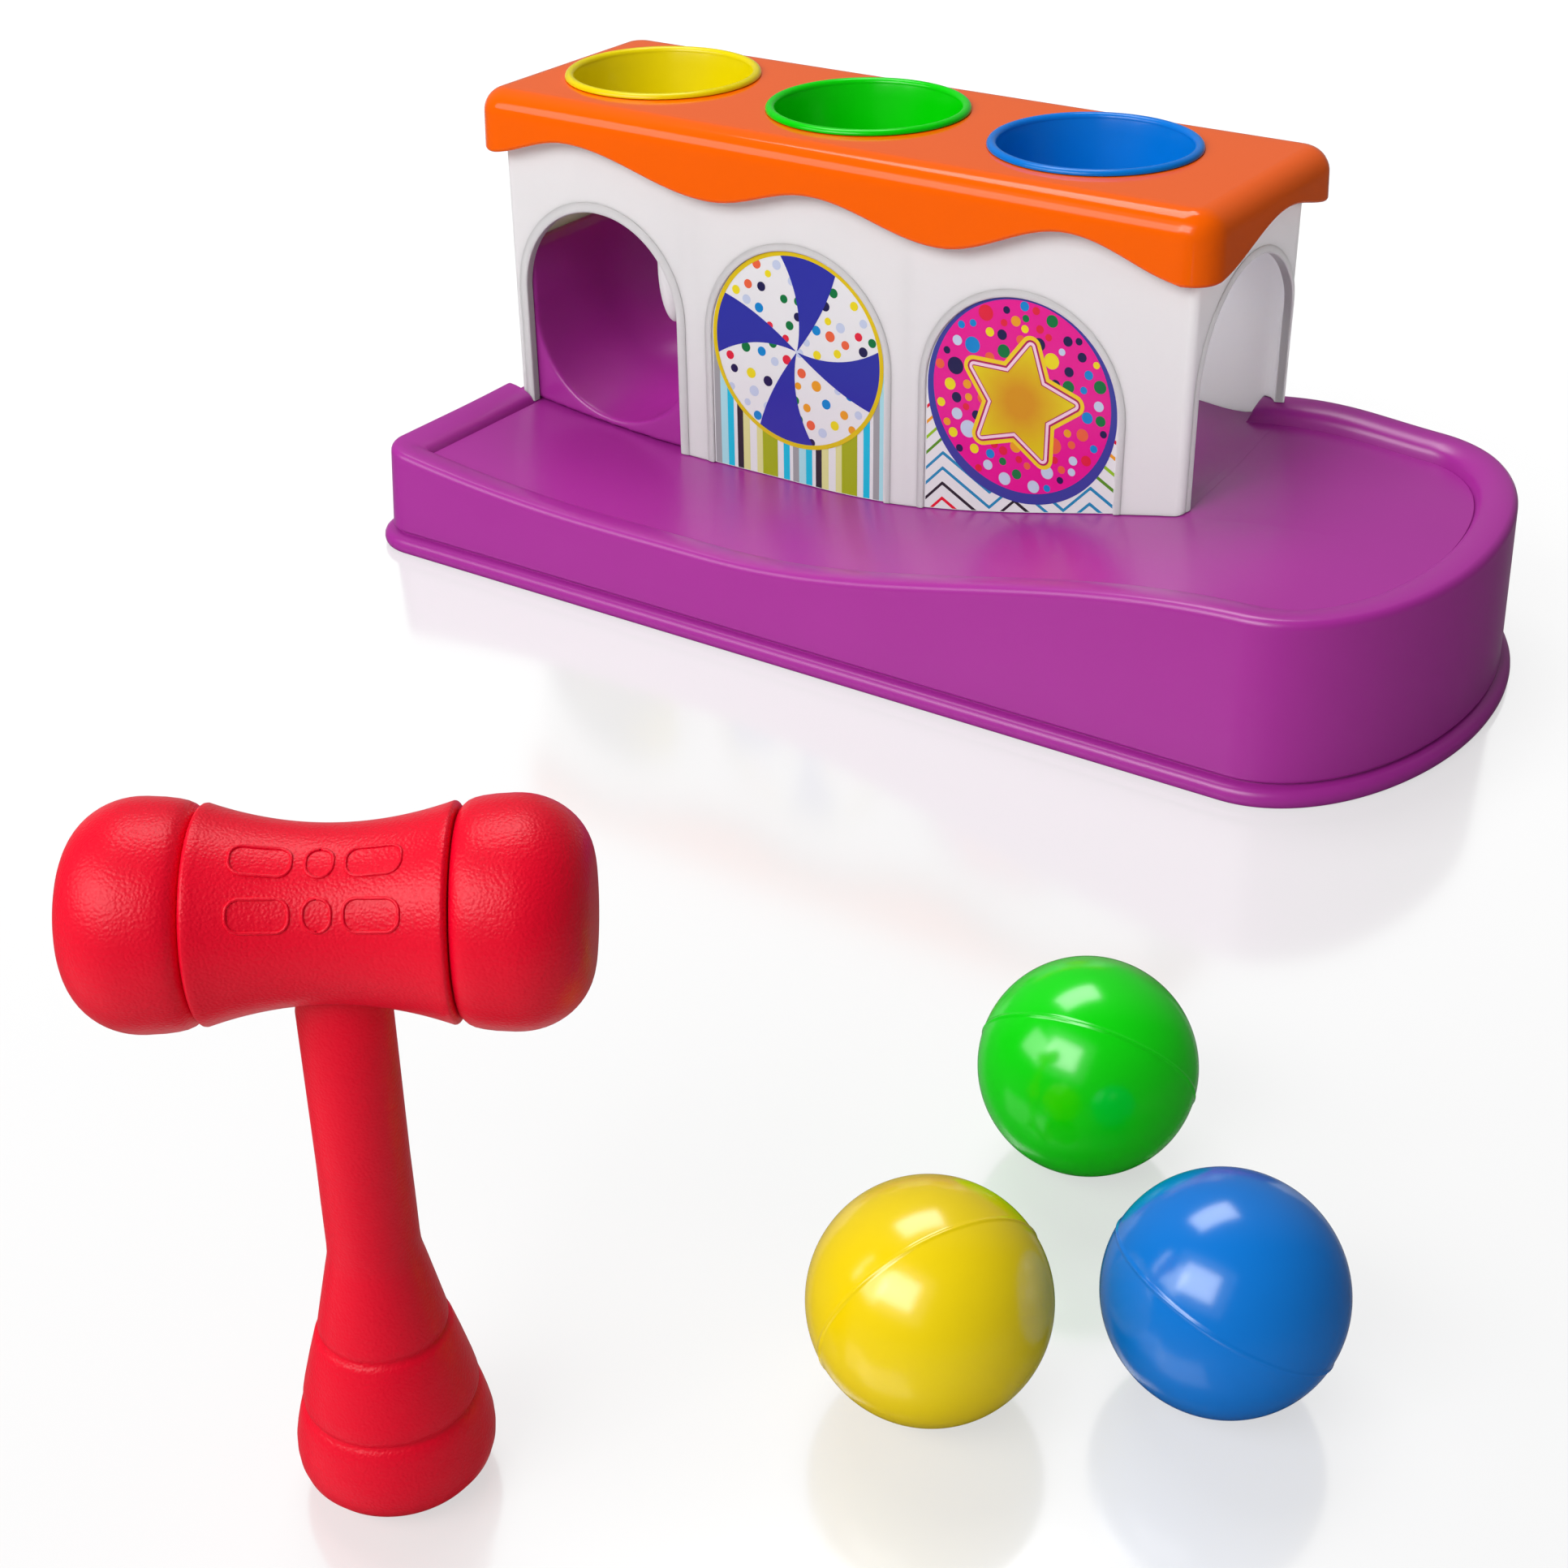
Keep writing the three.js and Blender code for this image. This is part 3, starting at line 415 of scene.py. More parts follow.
def prism(plan, z0, z1, hole=None):
    """An upright prism on a plan, with the same number of points round its hole."""
    n = len(plan)
    points = [(x, y, z) for z in (z0, z1) for x, y in plan]
    around = [(i, (i + 1) % n, n + (i + 1) % n, n + i) for i in range(n)]
    if hole is None:
        return points, around + [tuple(range(n))[::-1], tuple(range(n, 2 * n))]
    points += [(x, y, z) for z in (z0, z1) for x, y in hole]
    for i in range(n):
        k = (i + 1) % n
        around += [(2 * n + i, 3 * n + i, 3 * n + k, 2 * n + k),
                   (i, 2 * n + i, 2 * n + k, k), (n + i, n + k, 3 * n + k, 3 * n + i)]
    return points, around


def arch_line(r, steps=48):
    """An arch outline about its own centre: up one leg, over, and down the other."""
    over = [(r * math.cos(t), r * math.sin(t)) for t in np.linspace(0, np.pi, steps + 1)]
    return [(r, -ARCH_LEGS)] + over + [(-r, -ARCH_LEGS)]


def front_arch(x, z, r, y0, y1):
    """A block with an arch outline that goes through the front wall."""
    line = arch_line(r)
    points = [(x + u, y, z + v) for y in (y1, y0) for u, v in line]
    n = len(line)
    sides = [(i, (i + 1) % n, n + (i + 1) % n, n + i) for i in range(n)]
    return points, sides + [tuple(range(n))[::-1], tuple(range(n, 2 * n))]


def end_arch(y, z, r, x0, x1):
    """The same for the end wall."""
    points, quads = front_arch(0, z, r, 0, 1)
    return [(x0 + (x1 - x0) * side, y + u, v) for u, side, v in points], quads


def bake_down(piece):
    """Turns a piece's modifiers into plain mesh."""
    graph = bpy.context.evaluated_depsgraph_get()
    mesh = bpy.data.meshes.new_from_object(piece.evaluated_get(graph))
    piece.modifiers.clear()
    piece.data = mesh
    return piece


def cut(piece, cutters):
    """Cuts a piece with other solids, which are used up."""
    for cutter in cutters:
        boolean = piece.modifiers.new("cut", "BOOLEAN")
        boolean.operation = "DIFFERENCE"
        boolean.solver = "EXACT"
        boolean.object = cutter
    bake_down(piece)
    for cutter in cutters:
        bpy.data.objects.remove(cutter)
    return piece


def soften(piece, width):
    """Rounds a piece's edges, as a mould does."""
    bevel = piece.modifiers.new("edges", "BEVEL")
    bevel.width = width * MM
    bevel.segments = 3
    bevel.limit_method = "ANGLE"
    bevel.angle_limit = math.radians(35)
    bevel.use_clamp_overlap = True
    return bake_down(piece)


def crisp(piece):
    """Makes flat faces shade flat and rounded edges smooth, after cuts."""
    piece.data.set_sharp_from_angle(angle=math.radians(40))
    piece.modifiers.new("normals", "WEIGHTED_NORMAL").keep_sharp = True
    return bake_down(piece)


house = new_piece("house_moulding", *prism(house_plan(0), 15, HOUSE_TOP, house_plan(WALL)),
                  satin_white)
cutters = [new_piece("cutter", *front_arch(*OPEN_ARCH, HOUSE_Y0 - 5, HOUSE_Y0 + WALL + 3))]
for x in PANELS.values():
    cutters.append(new_piece("cutter", *front_arch(
        x, PANEL_Z, PANEL_R, HOUSE_Y0 - 5, HOUSE_Y0 + PANEL_DEPTH)))
cutters.append(new_piece("cutter", *end_arch(*END_ARCH, HOUSE_X1 - WALL - 3, HOUSE_X1 + 5)))
cut(house, cutters)
soften(house, 0.7)


def deck_block(gap):
    """The tray as a block, with a gap round it: what stands on the tray is cut by it."""
    rings = rim_rings(gap) + [(4.1, flat(-20))]
    return new_piece("deck_block", *banded_mesh(
        tray_outline, TRAY_MIDDLE, ROWS, rings, rings[0][1], flat(-20)))


cut(house, [deck_block(DECK_GAP)])
crisp(house)


def on_deck(x, y):
    return deck_height(x, y) + DECK_GAP


def turned(profile, steps=96):
    """A closed profile of (radius, height) turned about Z."""
    turns = np.linspace(0, 2 * np.pi, steps, endpoint=False)
    points = [(r * math.cos(t), r * math.sin(t), z) for r, z in profile for t in turns]
    n, faces = len(profile), []
    for k in range(n):
        if profile[k][0] == 0 and profile[(k + 1) % n][0] == 0:
            continue
        for i in range(steps):
            a, b = k * steps, (k + 1) % n * steps
            faces.append((a + i, a + (i + 1) % steps, b + (i + 1) % steps, b + i))
    return points, faces


def turned_piece(name, profile, place, material=None, steps=96):
    """The same as an upright piece at a place in plan."""
    points, faces = turned(profile, steps)
    return new_piece(name, [(px + place[0], py + place[1], pz) for px, py, pz in points], faces,
                     material)


DIVIDER_X = -42.6
divider_line = [(DIVIDER_X, y) for y in np.linspace(HOUSE_Y0 + 1.5, HOUSE_Y1 - 1, 12)]
inner_parts = [new_piece("divider", *plate(divider_line, on_deck, flat(124), WALL), satin_white)]
for x, y in POSTS:
    wall_y = HOUSE_Y0 + 1.5 if y < 0 else HOUSE_Y1 - 1
    web_line = [(x, y + math.copysign(3, y)), (x, wall_y)]
    inner_parts.append(new_piece(
        "post", *tube(x, y, float(on_deck(x, y)), POST_TOP, 3.5, 1.7), satin_white))
    inner_parts.append(new_piece("web", *plate(web_line, on_deck, flat(POST_TOP), 2), satin_white))
LUGS = [(-102, -33), (-100, 25.5), (121.5, -33), (119.5, 25.5)]
# The round-footed post that hangs beside the open arch
HANGING_POST = (-50, -33.2)
HANGING_R, HANGING_FOOT, DOME = 5, 64.5, 18
dome = [(HANGING_R * math.sin(t), HANGING_FOOT + DOME - DOME * math.cos(t))
        for t in np.linspace(0, np.pi / 2, 13)]
inner_parts.append(turned_piece(
    "hanging_post", dome + [(HANGING_R, POST_TOP), (0, POST_TOP)], HANGING_POST, satin_white))
for x, y in LUGS:
    wall_x = HOUSE_X0 + 1.2 if x < 0 else HOUSE_X1 - 1.2
    lug_line = [(x - math.copysign(3.2, x), y), (wall_x, y)]
    inner_parts.append(new_piece(
        "lug", *plate(lug_line, flat(LUG_LOW), flat(LUG_HIGH), 6.4), satin_white))

# Arch mouldings
# A low soft band of the same moulding runs up one leg of each arch, over, and down the other,
# and rounds the edge of the opening. Its section is (distance from the opening, height).
BAND = [(-0.06, -2.38), (-0.06, 0.2), (0.1, 0.42), (0.4, 0.55), (0.9, 0.6), (1.5, 0.58),
        (2.1, 0.48), (2.6, 0.34), (2.95, 0.22), (3.05, 0.16), (3.1, -0.3), (3.1, -1.2)]
PANEL_BAND = [(-0.58, -0.9), (-0.58, 0.1), (-0.45, 0.3), (-0.15, 0.42), (0.3, 0.46), (0.8, 0.4),
              (1.25, 0.28), (1.55, 0.18), (1.65, 0.12), (1.7, -0.3), (1.7, -1)]


def end_face(y):
    """Where the end wall's face is: it curves away at the house's round back corner."""
    along = max(0, y - HOUSE_Y1 + BACK_CORNER)
    square = BACK_CORNER ** 2
    return HOUSE_X1 - BACK_CORNER + math.sqrt(square - min(square, along ** 2))


def arch_band(section, r, spot):
    """A band round an arch; spot gives the place of (across, up, out) at the arch."""
    lines = [[spot(u, v, out) for u, v in arch_line(r + away, 64)] for away, out in section]
    n, m = len(section), len(lines[0])
    quads = [(k * m + i, k * m + i + 1, (k + 1) % n * m + i + 1, (k + 1) % n * m + i)
             for k in range(n) for i in range(m - 1)]
    ends = [tuple(range(0, n * m, m)), tuple(range(m - 1, n * m, m))]
    return new_piece("band", [p for line in lines for p in line], quads + ends, satin_white)


bands = []
for section, x, z, r in [(BAND, *OPEN_ARCH)] + [(PANEL_BAND, x, PANEL_Z, PANEL_R)
                                                for x in PANELS.values()]:
    bands.append(arch_band(section, r, lambda u, v, out: (x + u, HOUSE_Y0 - out, z + v)))
y, z, r = END_ARCH
bands.append(arch_band([(0.7 * away, out) for away, out in BAND], r,
                       lambda u, v, out: (end_face(y + u) + out, y + u, z + v)))
for band in bands:
    crisp(cut(band, [deck_block(DECK_GAP)]))
join(house, *bands, *inner_parts)
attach(house, "bench")
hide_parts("house")

# Roof
# Gloss orange moulding: a shallow cap with a full round edge and a skirt that hangs in waves,
# like icing. Three round holes take the cups.
# Polished ABS: small sharp highlights along the round edge.
gloss_orange = moulded("gloss_orange_abs", "#FF6400", 0.1, 0.35, grain=0.6, grain_bump=0.01)
ROOF_X0, ROOF_X1, ROOF_Y0, ROOF_Y1 = -118, 135, -45.5, 40
ROOF_EDGE, ROOF_CORNER, ROOF_WALL = 7.5, 10, 2.5
ROOF_MIDDLE = (ROOF_Y0 + ROOF_Y1) / 2
CUP_XS = {"yellow": -76.4, "green": 0, "blue": 76.4}
FRONT_WAVE = [(-115, 111.3), (-81, 118.4), (-28, 109), (8, 116.2), (51, 108.5), (92, 119.6),
              (130, 110.7)]
END_WAVE = [(ROOF_Y0 + 5, 110.7), (4, 120.6), (ROOF_Y1 - 2, 115)]


def wave_through(pairs, place):
    """A height that swings between the given heights in half waves."""
    result = np.full(np.shape(place), float(pairs[0][1]))
    for (a, low), (b, high) in zip(pairs, pairs[1:]):
        result = np.where(place >= a, half_wave(low, high, (place - a) / (b - a)), result)
    return result


def skirt_height(x, y):
    """Height of the skirt's lower edge."""
    end, front = wave_through(END_WAVE, y), wave_through(FRONT_WAVE, x)
    back = np.where(y > ROOF_MIDDLE, 4.3, 0) * np.clip((x - 92) / 34, 0, 1)
    side = np.where(x < ROOF_X0 + ROOF_CORNER, np.maximum(end, front), front + back)
    return np.where(x > ROOF_X1 - ROOF_CORNER, end, side)


def roof_outline(inset):
    return stations(inset, ROOF_X0, ROOF_X1, (ROOF_Y1 - ROOF_Y0) / 2, ROOF_CORNER,
                    np.arange(-105, 124, 3))


def over_skirt(rise):
    return lambda x, y: skirt_height(x, y) + rise


roof_rings = []
for step in range(11):
    angle = step / 10 * math.pi / 2
    roof_rings.append((0.3 + ROOF_EDGE * (1 - math.sin(angle)),
                       flat(ROOF_TOP - ROOF_EDGE * (1 - math.cos(angle)))))
half_wall = ROOF_WALL / 2
for step in range(9):
    angle = math.pi * step / 8
    roof_rings.append((half_wall - half_wall * math.cos(angle),
                       over_skirt(half_wall - half_wall * math.sin(angle))))
roof_rings += [(3.4, flat(ROOF_TOP - 4)), (4.5, flat(ROOF_TOP - ROOF_WALL))]
roof = new_piece("roof_moulding", *banded_mesh(
    roof_outline, ROOF_MIDDLE, np.linspace(-1, 1, 25), roof_rings, flat(ROOF_TOP),
    flat(ROOF_TOP - ROOF_WALL)), gloss_orange)
CUP_HOLE_R = 29.8
holes = [turned_piece("hole", [(0, 105), (CUP_HOLE_R, 105), (CUP_HOLE_R, 140), (0, 140)], (x, 0))
         for x in CUP_XS.values()]
crisp(cut(roof, holes))
roof_bosses = [new_piece("boss", *tube(x, y, LUG_HIGH + 0.3, ROOF_TOP - 2, 3.6, 1.7), gloss_orange)
               for x, y in LUGS]
join(roof, *roof_bosses)
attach(roof, "bench")
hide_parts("roof")

# Cups
# Gloss funnels clipped into the roof: a rolled rim on the roof's face, a smooth tapering wall,
# and a lip at the bottom that holds a ball until it is struck.
CUP_DEPTH, CUP_LIP_R = 26.5, 21.6
CUP_COLOURS = {"yellow": "#F0DC00", "green": "#00D800", "blue": "#007ADC"}


def cup_profile():
    """The funnel's closed section: rolled rim, outer wall with the snap bead, lip."""
    z, bottom = ROOF_TOP, ROOF_TOP + 1.5 - CUP_DEPTH
    rim = []
    for step in range(13):
        a = math.radians(200 - step * 17.5)
        rim.append((29.5 + 1.5 * math.cos(a), z + 0.25 + 1.45 * max(0.0, math.sin(a))))
    wall = [(29.4, z + 0.3), (29.4, z - 2.8), (29.8, z - 3.1), (29.9, z - 3.6), (29.2, z - 4.4),
            (CUP_LIP_R + 3, bottom + 0.3), (CUP_LIP_R + 2.4, bottom - 0.2),
            (CUP_LIP_R + 0.4, bottom - 0.3), (CUP_LIP_R, bottom + 0.2),
            (CUP_LIP_R + 0.4, bottom + 1.2), (CUP_LIP_R + 1.6, bottom + 3)]
    inner = [(CUP_LIP_R + 1.6 + (27.7 - CUP_LIP_R - 1.6) * u, bottom + 3 + (z - 1 - bottom - 3) * u)
             for u in np.linspace(0.1, 1, 8)]
    return rim + wall + inner


for colour, x in CUP_XS.items():
    # Gloss ABS: a soft bright streak down the inside
    gloss = moulded(f"gloss_{colour}_abs", CUP_COLOURS[colour], 0.2, 0.35, grain=0.6,
                    grain_bump=0.01)
    cup = turned_piece(f"cup_{colour}_moulding", cup_profile(), (x, 0), gloss, 128)
    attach(cup, "bench")
    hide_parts(f"cup_{colour}")

# Scoop
# The purple insert behind the left arch. A ball drops into its round well and rolls out over
# the rounded lip of its trough.
SCOOP_R, SCOOP_X, SCOOP_Y, SCOOP_BACK, SCOOP_FRONT, SCOOP_TOP = 31.5, -72, -3.3, 63, 59.2, 82
SCOOP_GAP, LEDGE = 0.4, 2.2


def slab(xs, ys, top, bottom):
    """A closed block on a grid in plan, between two heights."""
    points = [(x, y, float(end(x, y))) for end in (top, bottom) for x in xs for y in ys]
    n, m = len(xs), len(ys)
    corners = [i * m + j for i in range(n - 1) for j in range(m - 1)]
    faces = [(a, a + m, a + m + 1, a + 1) for a in corners]
    faces += [(a + n * m + 1, a + n * m + m + 1, a + n * m + m, a + n * m) for a in corners]
    edge = [i * m for i in range(n)] + [(n - 1) * m + j for j in range(1, m)]
    edge += [i * m + m - 1 for i in range(n - 2, -1, -1)] + list(range(m - 2, 0, -1))
    faces += [(b, a, n * m + a, n * m + b) for a, b in zip(edge, edge[1:] + edge[:1])]
    return points, faces


scoop_plan = [(max(min(x, DIVIDER_X - WALL / 2 - SCOOP_GAP), HOUSE_X0 + WALL + SCOOP_GAP), y)
              for x, y in house_plan(WALL + SCOOP_GAP)]
scoop = new_piece("scoop_moulding", *prism(scoop_plan, 18, SCOOP_TOP), satin_purple)
slope = math.atan2(SCOOP_BACK - SCOOP_FRONT, SCOOP_Y - HOUSE_Y0)
well_plan = [(SCOOP_X + SCOOP_R * math.cos(t), SCOOP_Y + SCOOP_R * math.sin(t))
             for t in np.linspace(0, np.pi, 65)]
well_plan += [(SCOOP_X - SCOOP_R, HOUSE_Y0 - 10), (SCOOP_X + SCOOP_R, HOUSE_Y0 - 10)]
trough_profile = [(0, -70), (SCOOP_R, -70)]
trough_profile += [(SCOOP_R * math.cos(t), SCOOP_R * math.sin(t))
                   for t in np.linspace(0, np.pi / 2, 24)]
trough_profile[-1] = (0, SCOOP_R)
points, faces = turned(trough_profile, 96)
lay = Matrix.Translation((SCOOP_X, SCOOP_Y, SCOOP_BACK)) @ Matrix.Rotation(
    slope - math.pi / 2, 4, "X")
trough = new_piece("trough", [tuple(lay @ Vector(p)) for p in points], faces)
well = new_piece("well", *prism(well_plan, SCOOP_BACK, 140))
ledge_plan = [(SCOOP_X + (x - SCOOP_X) * 1.03, SCOOP_Y + (y - SCOOP_Y) * 1.03)
              for x, y in well_plan]
ledge = new_piece("ledge", *prism(ledge_plan, SCOOP_TOP - LEDGE, 140))
cut(scoop, [trough, well, ledge])
deck_slab = new_piece("deck_slab", *slab(
    np.linspace(-115, -38, 40), np.linspace(-44, 38, 40),
    lambda x, y: deck_height(x, y) + SCOOP_GAP, flat(-20)))
cut(scoop, [deck_slab])
remesh = scoop.modifiers.new("rounding", "REMESH")
remesh.mode = "VOXEL"
remesh.voxel_size = 0.6 * MM
remesh.use_smooth_shade = True
smooth = scoop.modifiers.new("smooth", "SMOOTH")
smooth.factor = 0.5
smooth.iterations = 14
bake_down(scoop)
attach(scoop, "bench")
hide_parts("ball_scoop")

# Ramp
# The purple inner floor behind the two labels. It falls gently, then runs out level with the
# deck under the end arch, and is cut out round the house's posts.
RAMP_HIGH, RAMP_LOW, RAMP_X0, RAMP_X1, APRON_X = 54, 47.6, -41.1, 117.5, 98
TONGUE_X = 126.8


def ramp_top(x, y):
    fall = RAMP_HIGH + (RAMP_LOW - RAMP_HIGH) * (np.minimum(x, APRON_X) - RAMP_X0) / (
        RAMP_X1 - RAMP_X0)
    return half_wave(fall, deck_height(x, y) + 0.03, (x - APRON_X) / (HOUSE_X1 - 2 - APRON_X))


def ramp_foot(x, y):
    return np.minimum(on_deck(x, y), ramp_top(x, y) - 0.1)


ramp = new_piece("ramp_moulding", *slab(
    np.linspace(RAMP_X0, TONGUE_X, 57), np.linspace(-37.3, 31.6, 24), ramp_top, ramp_foot),
    satin_purple)
post_holes = [turned_piece("hole", [(0, 0), (4.2, 0), (4.2, 140), (0, 140)], post, steps=32)
              for post in POSTS]
crisp(cut(ramp, post_holes))
tongue = new_piece("tongue", *slab(
    np.linspace(TONGUE_X, HOUSE_X1, 3), np.linspace(-34.4, 27.8, 22), ramp_top, ramp_foot),
    satin_purple)
join(ramp, tongue)
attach(ramp, "bench")
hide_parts("ball_ramp")

# Screws
# Zinc-plated pan-head screws, driven up from below. One screw is turned and gets its cross
# recess, and a node tree sets it on every place, each turned its own way.
# Zinc plate: a cool grey metal with blurred reflections.
zinc = new_material("zinc_plated_steel", Base_Color=linear("#B8BCC2"), Metallic=1,
                    Roughness=0.32)[0]


def start_tree(name, **inputs):
    """A node tree that takes the named inputs and gives geometry, and its input node."""
    tree = bpy.data.node_groups.new(name, "GeometryNodeTree")
    for label, kind in inputs.items():
        tree.interface.new_socket(label, in_out="INPUT", socket_type=f"NodeSocket{kind}")
    tree.interface.new_socket("Result", in_out="OUTPUT", socket_type="NodeSocketGeometry")
    return tree, add_node(tree, "NodeGroupInput")


def end_tree(tree, given, geometry):
    """Makes a tree's geometry real, gives it the material and hands it out."""
    real = add_node(tree, "GeometryNodeRealizeInstances", {"Geometry": geometry})
    dressed = add_node(tree, "GeometryNodeSetMaterial", {
        "Geometry": real.outputs["Geometry"], "Material": given.outputs["Material"]})
    add_node(tree, "NodeGroupOutput", {"Result": dressed.outputs["Geometry"]})
    return tree


def make_screw_tree():
    """Sets a screw on every point, turned about its own axis at random."""
    tree, given = start_tree("set_screws", Places="Geometry", Screw="Object",
                             Material="Material")
    screw = add_node(tree, "GeometryNodeObjectInfo", {
        "Object": given.outputs["Screw"], "As Instance": True})
    spin = add_node(tree, "FunctionNodeRandomValue", {"Max": (0, 0, math.pi), "Seed": 5},
                    data_type="FLOAT_VECTOR")
    turn = add_node(tree, "FunctionNodeEulerToRotation", {"Euler": spin.outputs["Value"]})
    placed = add_node(tree, "GeometryNodeInstanceOnPoints", {
        "Points": given.outputs["Places"], "Instance": screw.outputs["Geometry"],
        "Rotation": turn.outputs["Rotation"]})
    return end_tree(tree, given, placed.outputs["Instances"])


def grow(piece, tree, **values):
    """Runs a node tree on a piece with the given inputs, and keeps the result as mesh."""
    modifier = piece.modifiers.new(tree.name, "NODES")
    modifier.node_group = tree
    for item in tree.interface.items_tree:
        if item.in_out == "INPUT" and item.name in values:
            modifier[item.identifier] = values[item.name]
    return bake_down(piece)


def screws(name, length, places, nodes):
    """Screws with the underside of their heads at the given places."""
    profile = [(0, -2), (1.5, -2), (2.3, -1.75), (2.75, -1.2), (2.9, -0.5), (2.9, 0), (1.4, 0),
               (1.4, length - 2.5), (0, length)]
    screw = new_piece("screw", *turned(profile, 32), origin=Vector())
    cut(screw, [new_piece("recess", *slab((-a, a), (-b, b), flat(-0.8), flat(-3)), origin=Vector())
                for a, b in ((1.6, 0.4), (0.4, 1.6))])
    mesh = bpy.data.meshes.new(name)
    mesh.from_pydata([tuple(BENCH + MM * Vector(place)) for place in places], [], [])
    group = add_object(name, mesh)
    grow(group, screw_tree, Screw=screw, Material=zinc)
    bpy.data.objects.remove(screw)
    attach(group, "bench")
    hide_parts(*nodes)


screw_tree = make_screw_tree()
deck_seats = [(x, y, float(deck_height(x, y)) - BOSS_SEAT - 0.3) for x, y in DECK_SCREWS]
screws("deck_screws", 15, deck_seats,
       [f"screw_house_{k}" for k in range(1, 5)] + ["screw_scoop_1", "screw_ramp_1"])
screws("roof_screws", 12, [(x, y, 114.7) for x, y in LUGS],
       [f"screw_roof_{k}" for k in range(1, 5)])

# Labels
# Printed film in each arched recess. Every print is laid on as thin layers of ink, each
# INK_STEP in front of the one before: stripes or chevrons first, then the disc and what is on it.
LABEL_FACE, LABEL_BACK, LABEL_R, INK_STEP = -39.5, -39.1, 31.4, 0.03
DISC_V, DISC_R = 0.6, 30.9
INKS = {
    "film": "#EDECEE", "gold_yellow": "#E3C400", "blue": "#2B2FA6", "violet": "#3A3F9E",
    "pink": "#EC0F94", "grey": "#A3A3A6", "pale_cyan": "#AEE3EC", "cyan": "#00C2E4",
    "black": "#26222A", "pale_yellow": "#E4E29A", "olive": "#AAB400", "red": "#E8102E",
    "orange": "#F2A01E", "lime": "#96C81E", "green": "#5A961E", "sea": "#1E8CBE",
    "crimson": "#B4145A", "blush": "#FAD2E6", "bright_yellow": "#F5D21E",
}
DOT_INKS = ["#0087D2", "#F0A01E", "#1E1950", "#00783C", "#C8D2EB", "#E61E3C", "#F0643C",
            "#F0DC14"]


def film_ink(name, colour):
    """Printed polypropylene film: flat, even ink under a thin clear gloss face."""
    return new_material(f"printed_film_{name}", Base_Color=linear(colour), Roughness=0.22,
                        IOR=1.49)[0]


inks = {name: film_ink(name, colour) for name, colour in INKS.items()}
dot_ink = film_ink("dots", "#FFFFFF")
ink_number = add_node(dot_ink.node_tree, "ShaderNodeAttribute", attribute_name="ink")
ink_choice = add_node(dot_ink.node_tree, "ShaderNodeValToRGB", {"Fac": ink_number.outputs["Fac"]})
ink_steps = ink_choice.color_ramp.elements
ink_choice.color_ramp.interpolation = "CONSTANT"
while len(ink_steps) < len(DOT_INKS):
    ink_steps.new(1)
for k, colour in enumerate(DOT_INKS):
    ink_steps[k].position, ink_steps[k].color = k / len(DOT_INKS), linear(colour)
dot_shader = dot_ink.node_tree.nodes["Principled BSDF"]
dot_ink.node_tree.links.new(ink_choice.outputs["Color"], dot_shader.inputs["Base Color"])

# The gold star is darker in the middle
STAR_R, STAR_NOTCH, STAR_TURN = 17.4, 9.0, math.radians(81)
star_gold = film_ink("star_gold", "#E0A000")
star_tree = star_gold.node_tree
star_place = add_node(star_tree, "ShaderNodeAttribute", attribute_name="from_middle")
star_ramp = add_node(star_tree, "ShaderNodeValToRGB", {"Fac": star_place.outputs["Fac"]})
star_ramp.color_ramp.elements[0].color = linear("#DC9600")
star_ramp.color_ramp.elements[0].position = 0.25
star_ramp.color_ramp.elements[1].color = linear("#E8D400")
star_tree.links.new(star_ramp.outputs["Color"],
                    star_tree.nodes["Principled BSDF"].inputs["Base Color"])
inks["star_gold"] = star_gold


def print_layers(name, x, layers):
    """One mesh of ink layers: each layer is (ink, level, polygons in label coordinates)."""
    points, faces, slots, radii = [], [], [], []
    used = list(dict.fromkeys(ink for ink, level, polygons in layers))
    for ink, level, polygons in layers:
        for polygon in polygons:
            faces.append(tuple(range(len(points), len(points) + len(polygon))))
            points += [(x + u, LABEL_FACE - level * INK_STEP, PANEL_Z + v) for u, v in polygon]
            radii += [math.hypot(u, v - DISC_V) / STAR_R for u, v in polygon]
            slots.append(used.index(ink))
    mesh = bpy.data.meshes.new(name)
    mesh.from_pydata([tuple(BENCH + MM * Vector(p)) for p in points], [], faces)
    for ink in used:
        mesh.materials.append(inks[ink])
    mesh.polygons.foreach_set("material_index", slots)
    mesh.attributes.new("from_middle", "FLOAT", "POINT").data.foreach_set("value", radii)
    return add_object(name, mesh)


def fan(outline, centre):
    """A polygon as triangles about a point inside it."""
    return [(centre, outline[k], outline[(k + 1) % len(outline)]) for k in range(len(outline))]


def disc(v, r, steps=120):
    return [(r * math.cos(t), v + r * math.sin(t))
            for t in np.linspace(0, 2 * np.pi, steps, endpoint=False)]


def band_between(one, other):
    """Quads between two outlines that have the same number of points."""
    n = len(one)
    return [(one[k], one[(k + 1) % n], other[(k + 1) % n], other[k]) for k in range(n)]


def columns(x, us, low, high):
    """Upright strips from us, between two heights, cut off at the deck and at the disc."""
    polygons = []
    for a, b in zip(us, us[1:]):
        quad = []
        for u, ends in ((a, (0, 1)), (b, (1, 0))):
            floor_v = float(deck_height(x + u, LABEL_FACE)) + 0.5 - PANEL_Z
            heights = [min(max(end(u), floor_v), DISC_V) for end in (low, high)]
            quad += [(u, heights[k]) for k in ends]
        if quad[1][1] - quad[0][1] > 0.01 or quad[2][1] - quad[3][1] > 0.01:
            polygons.append(tuple(quad))
    return polygons


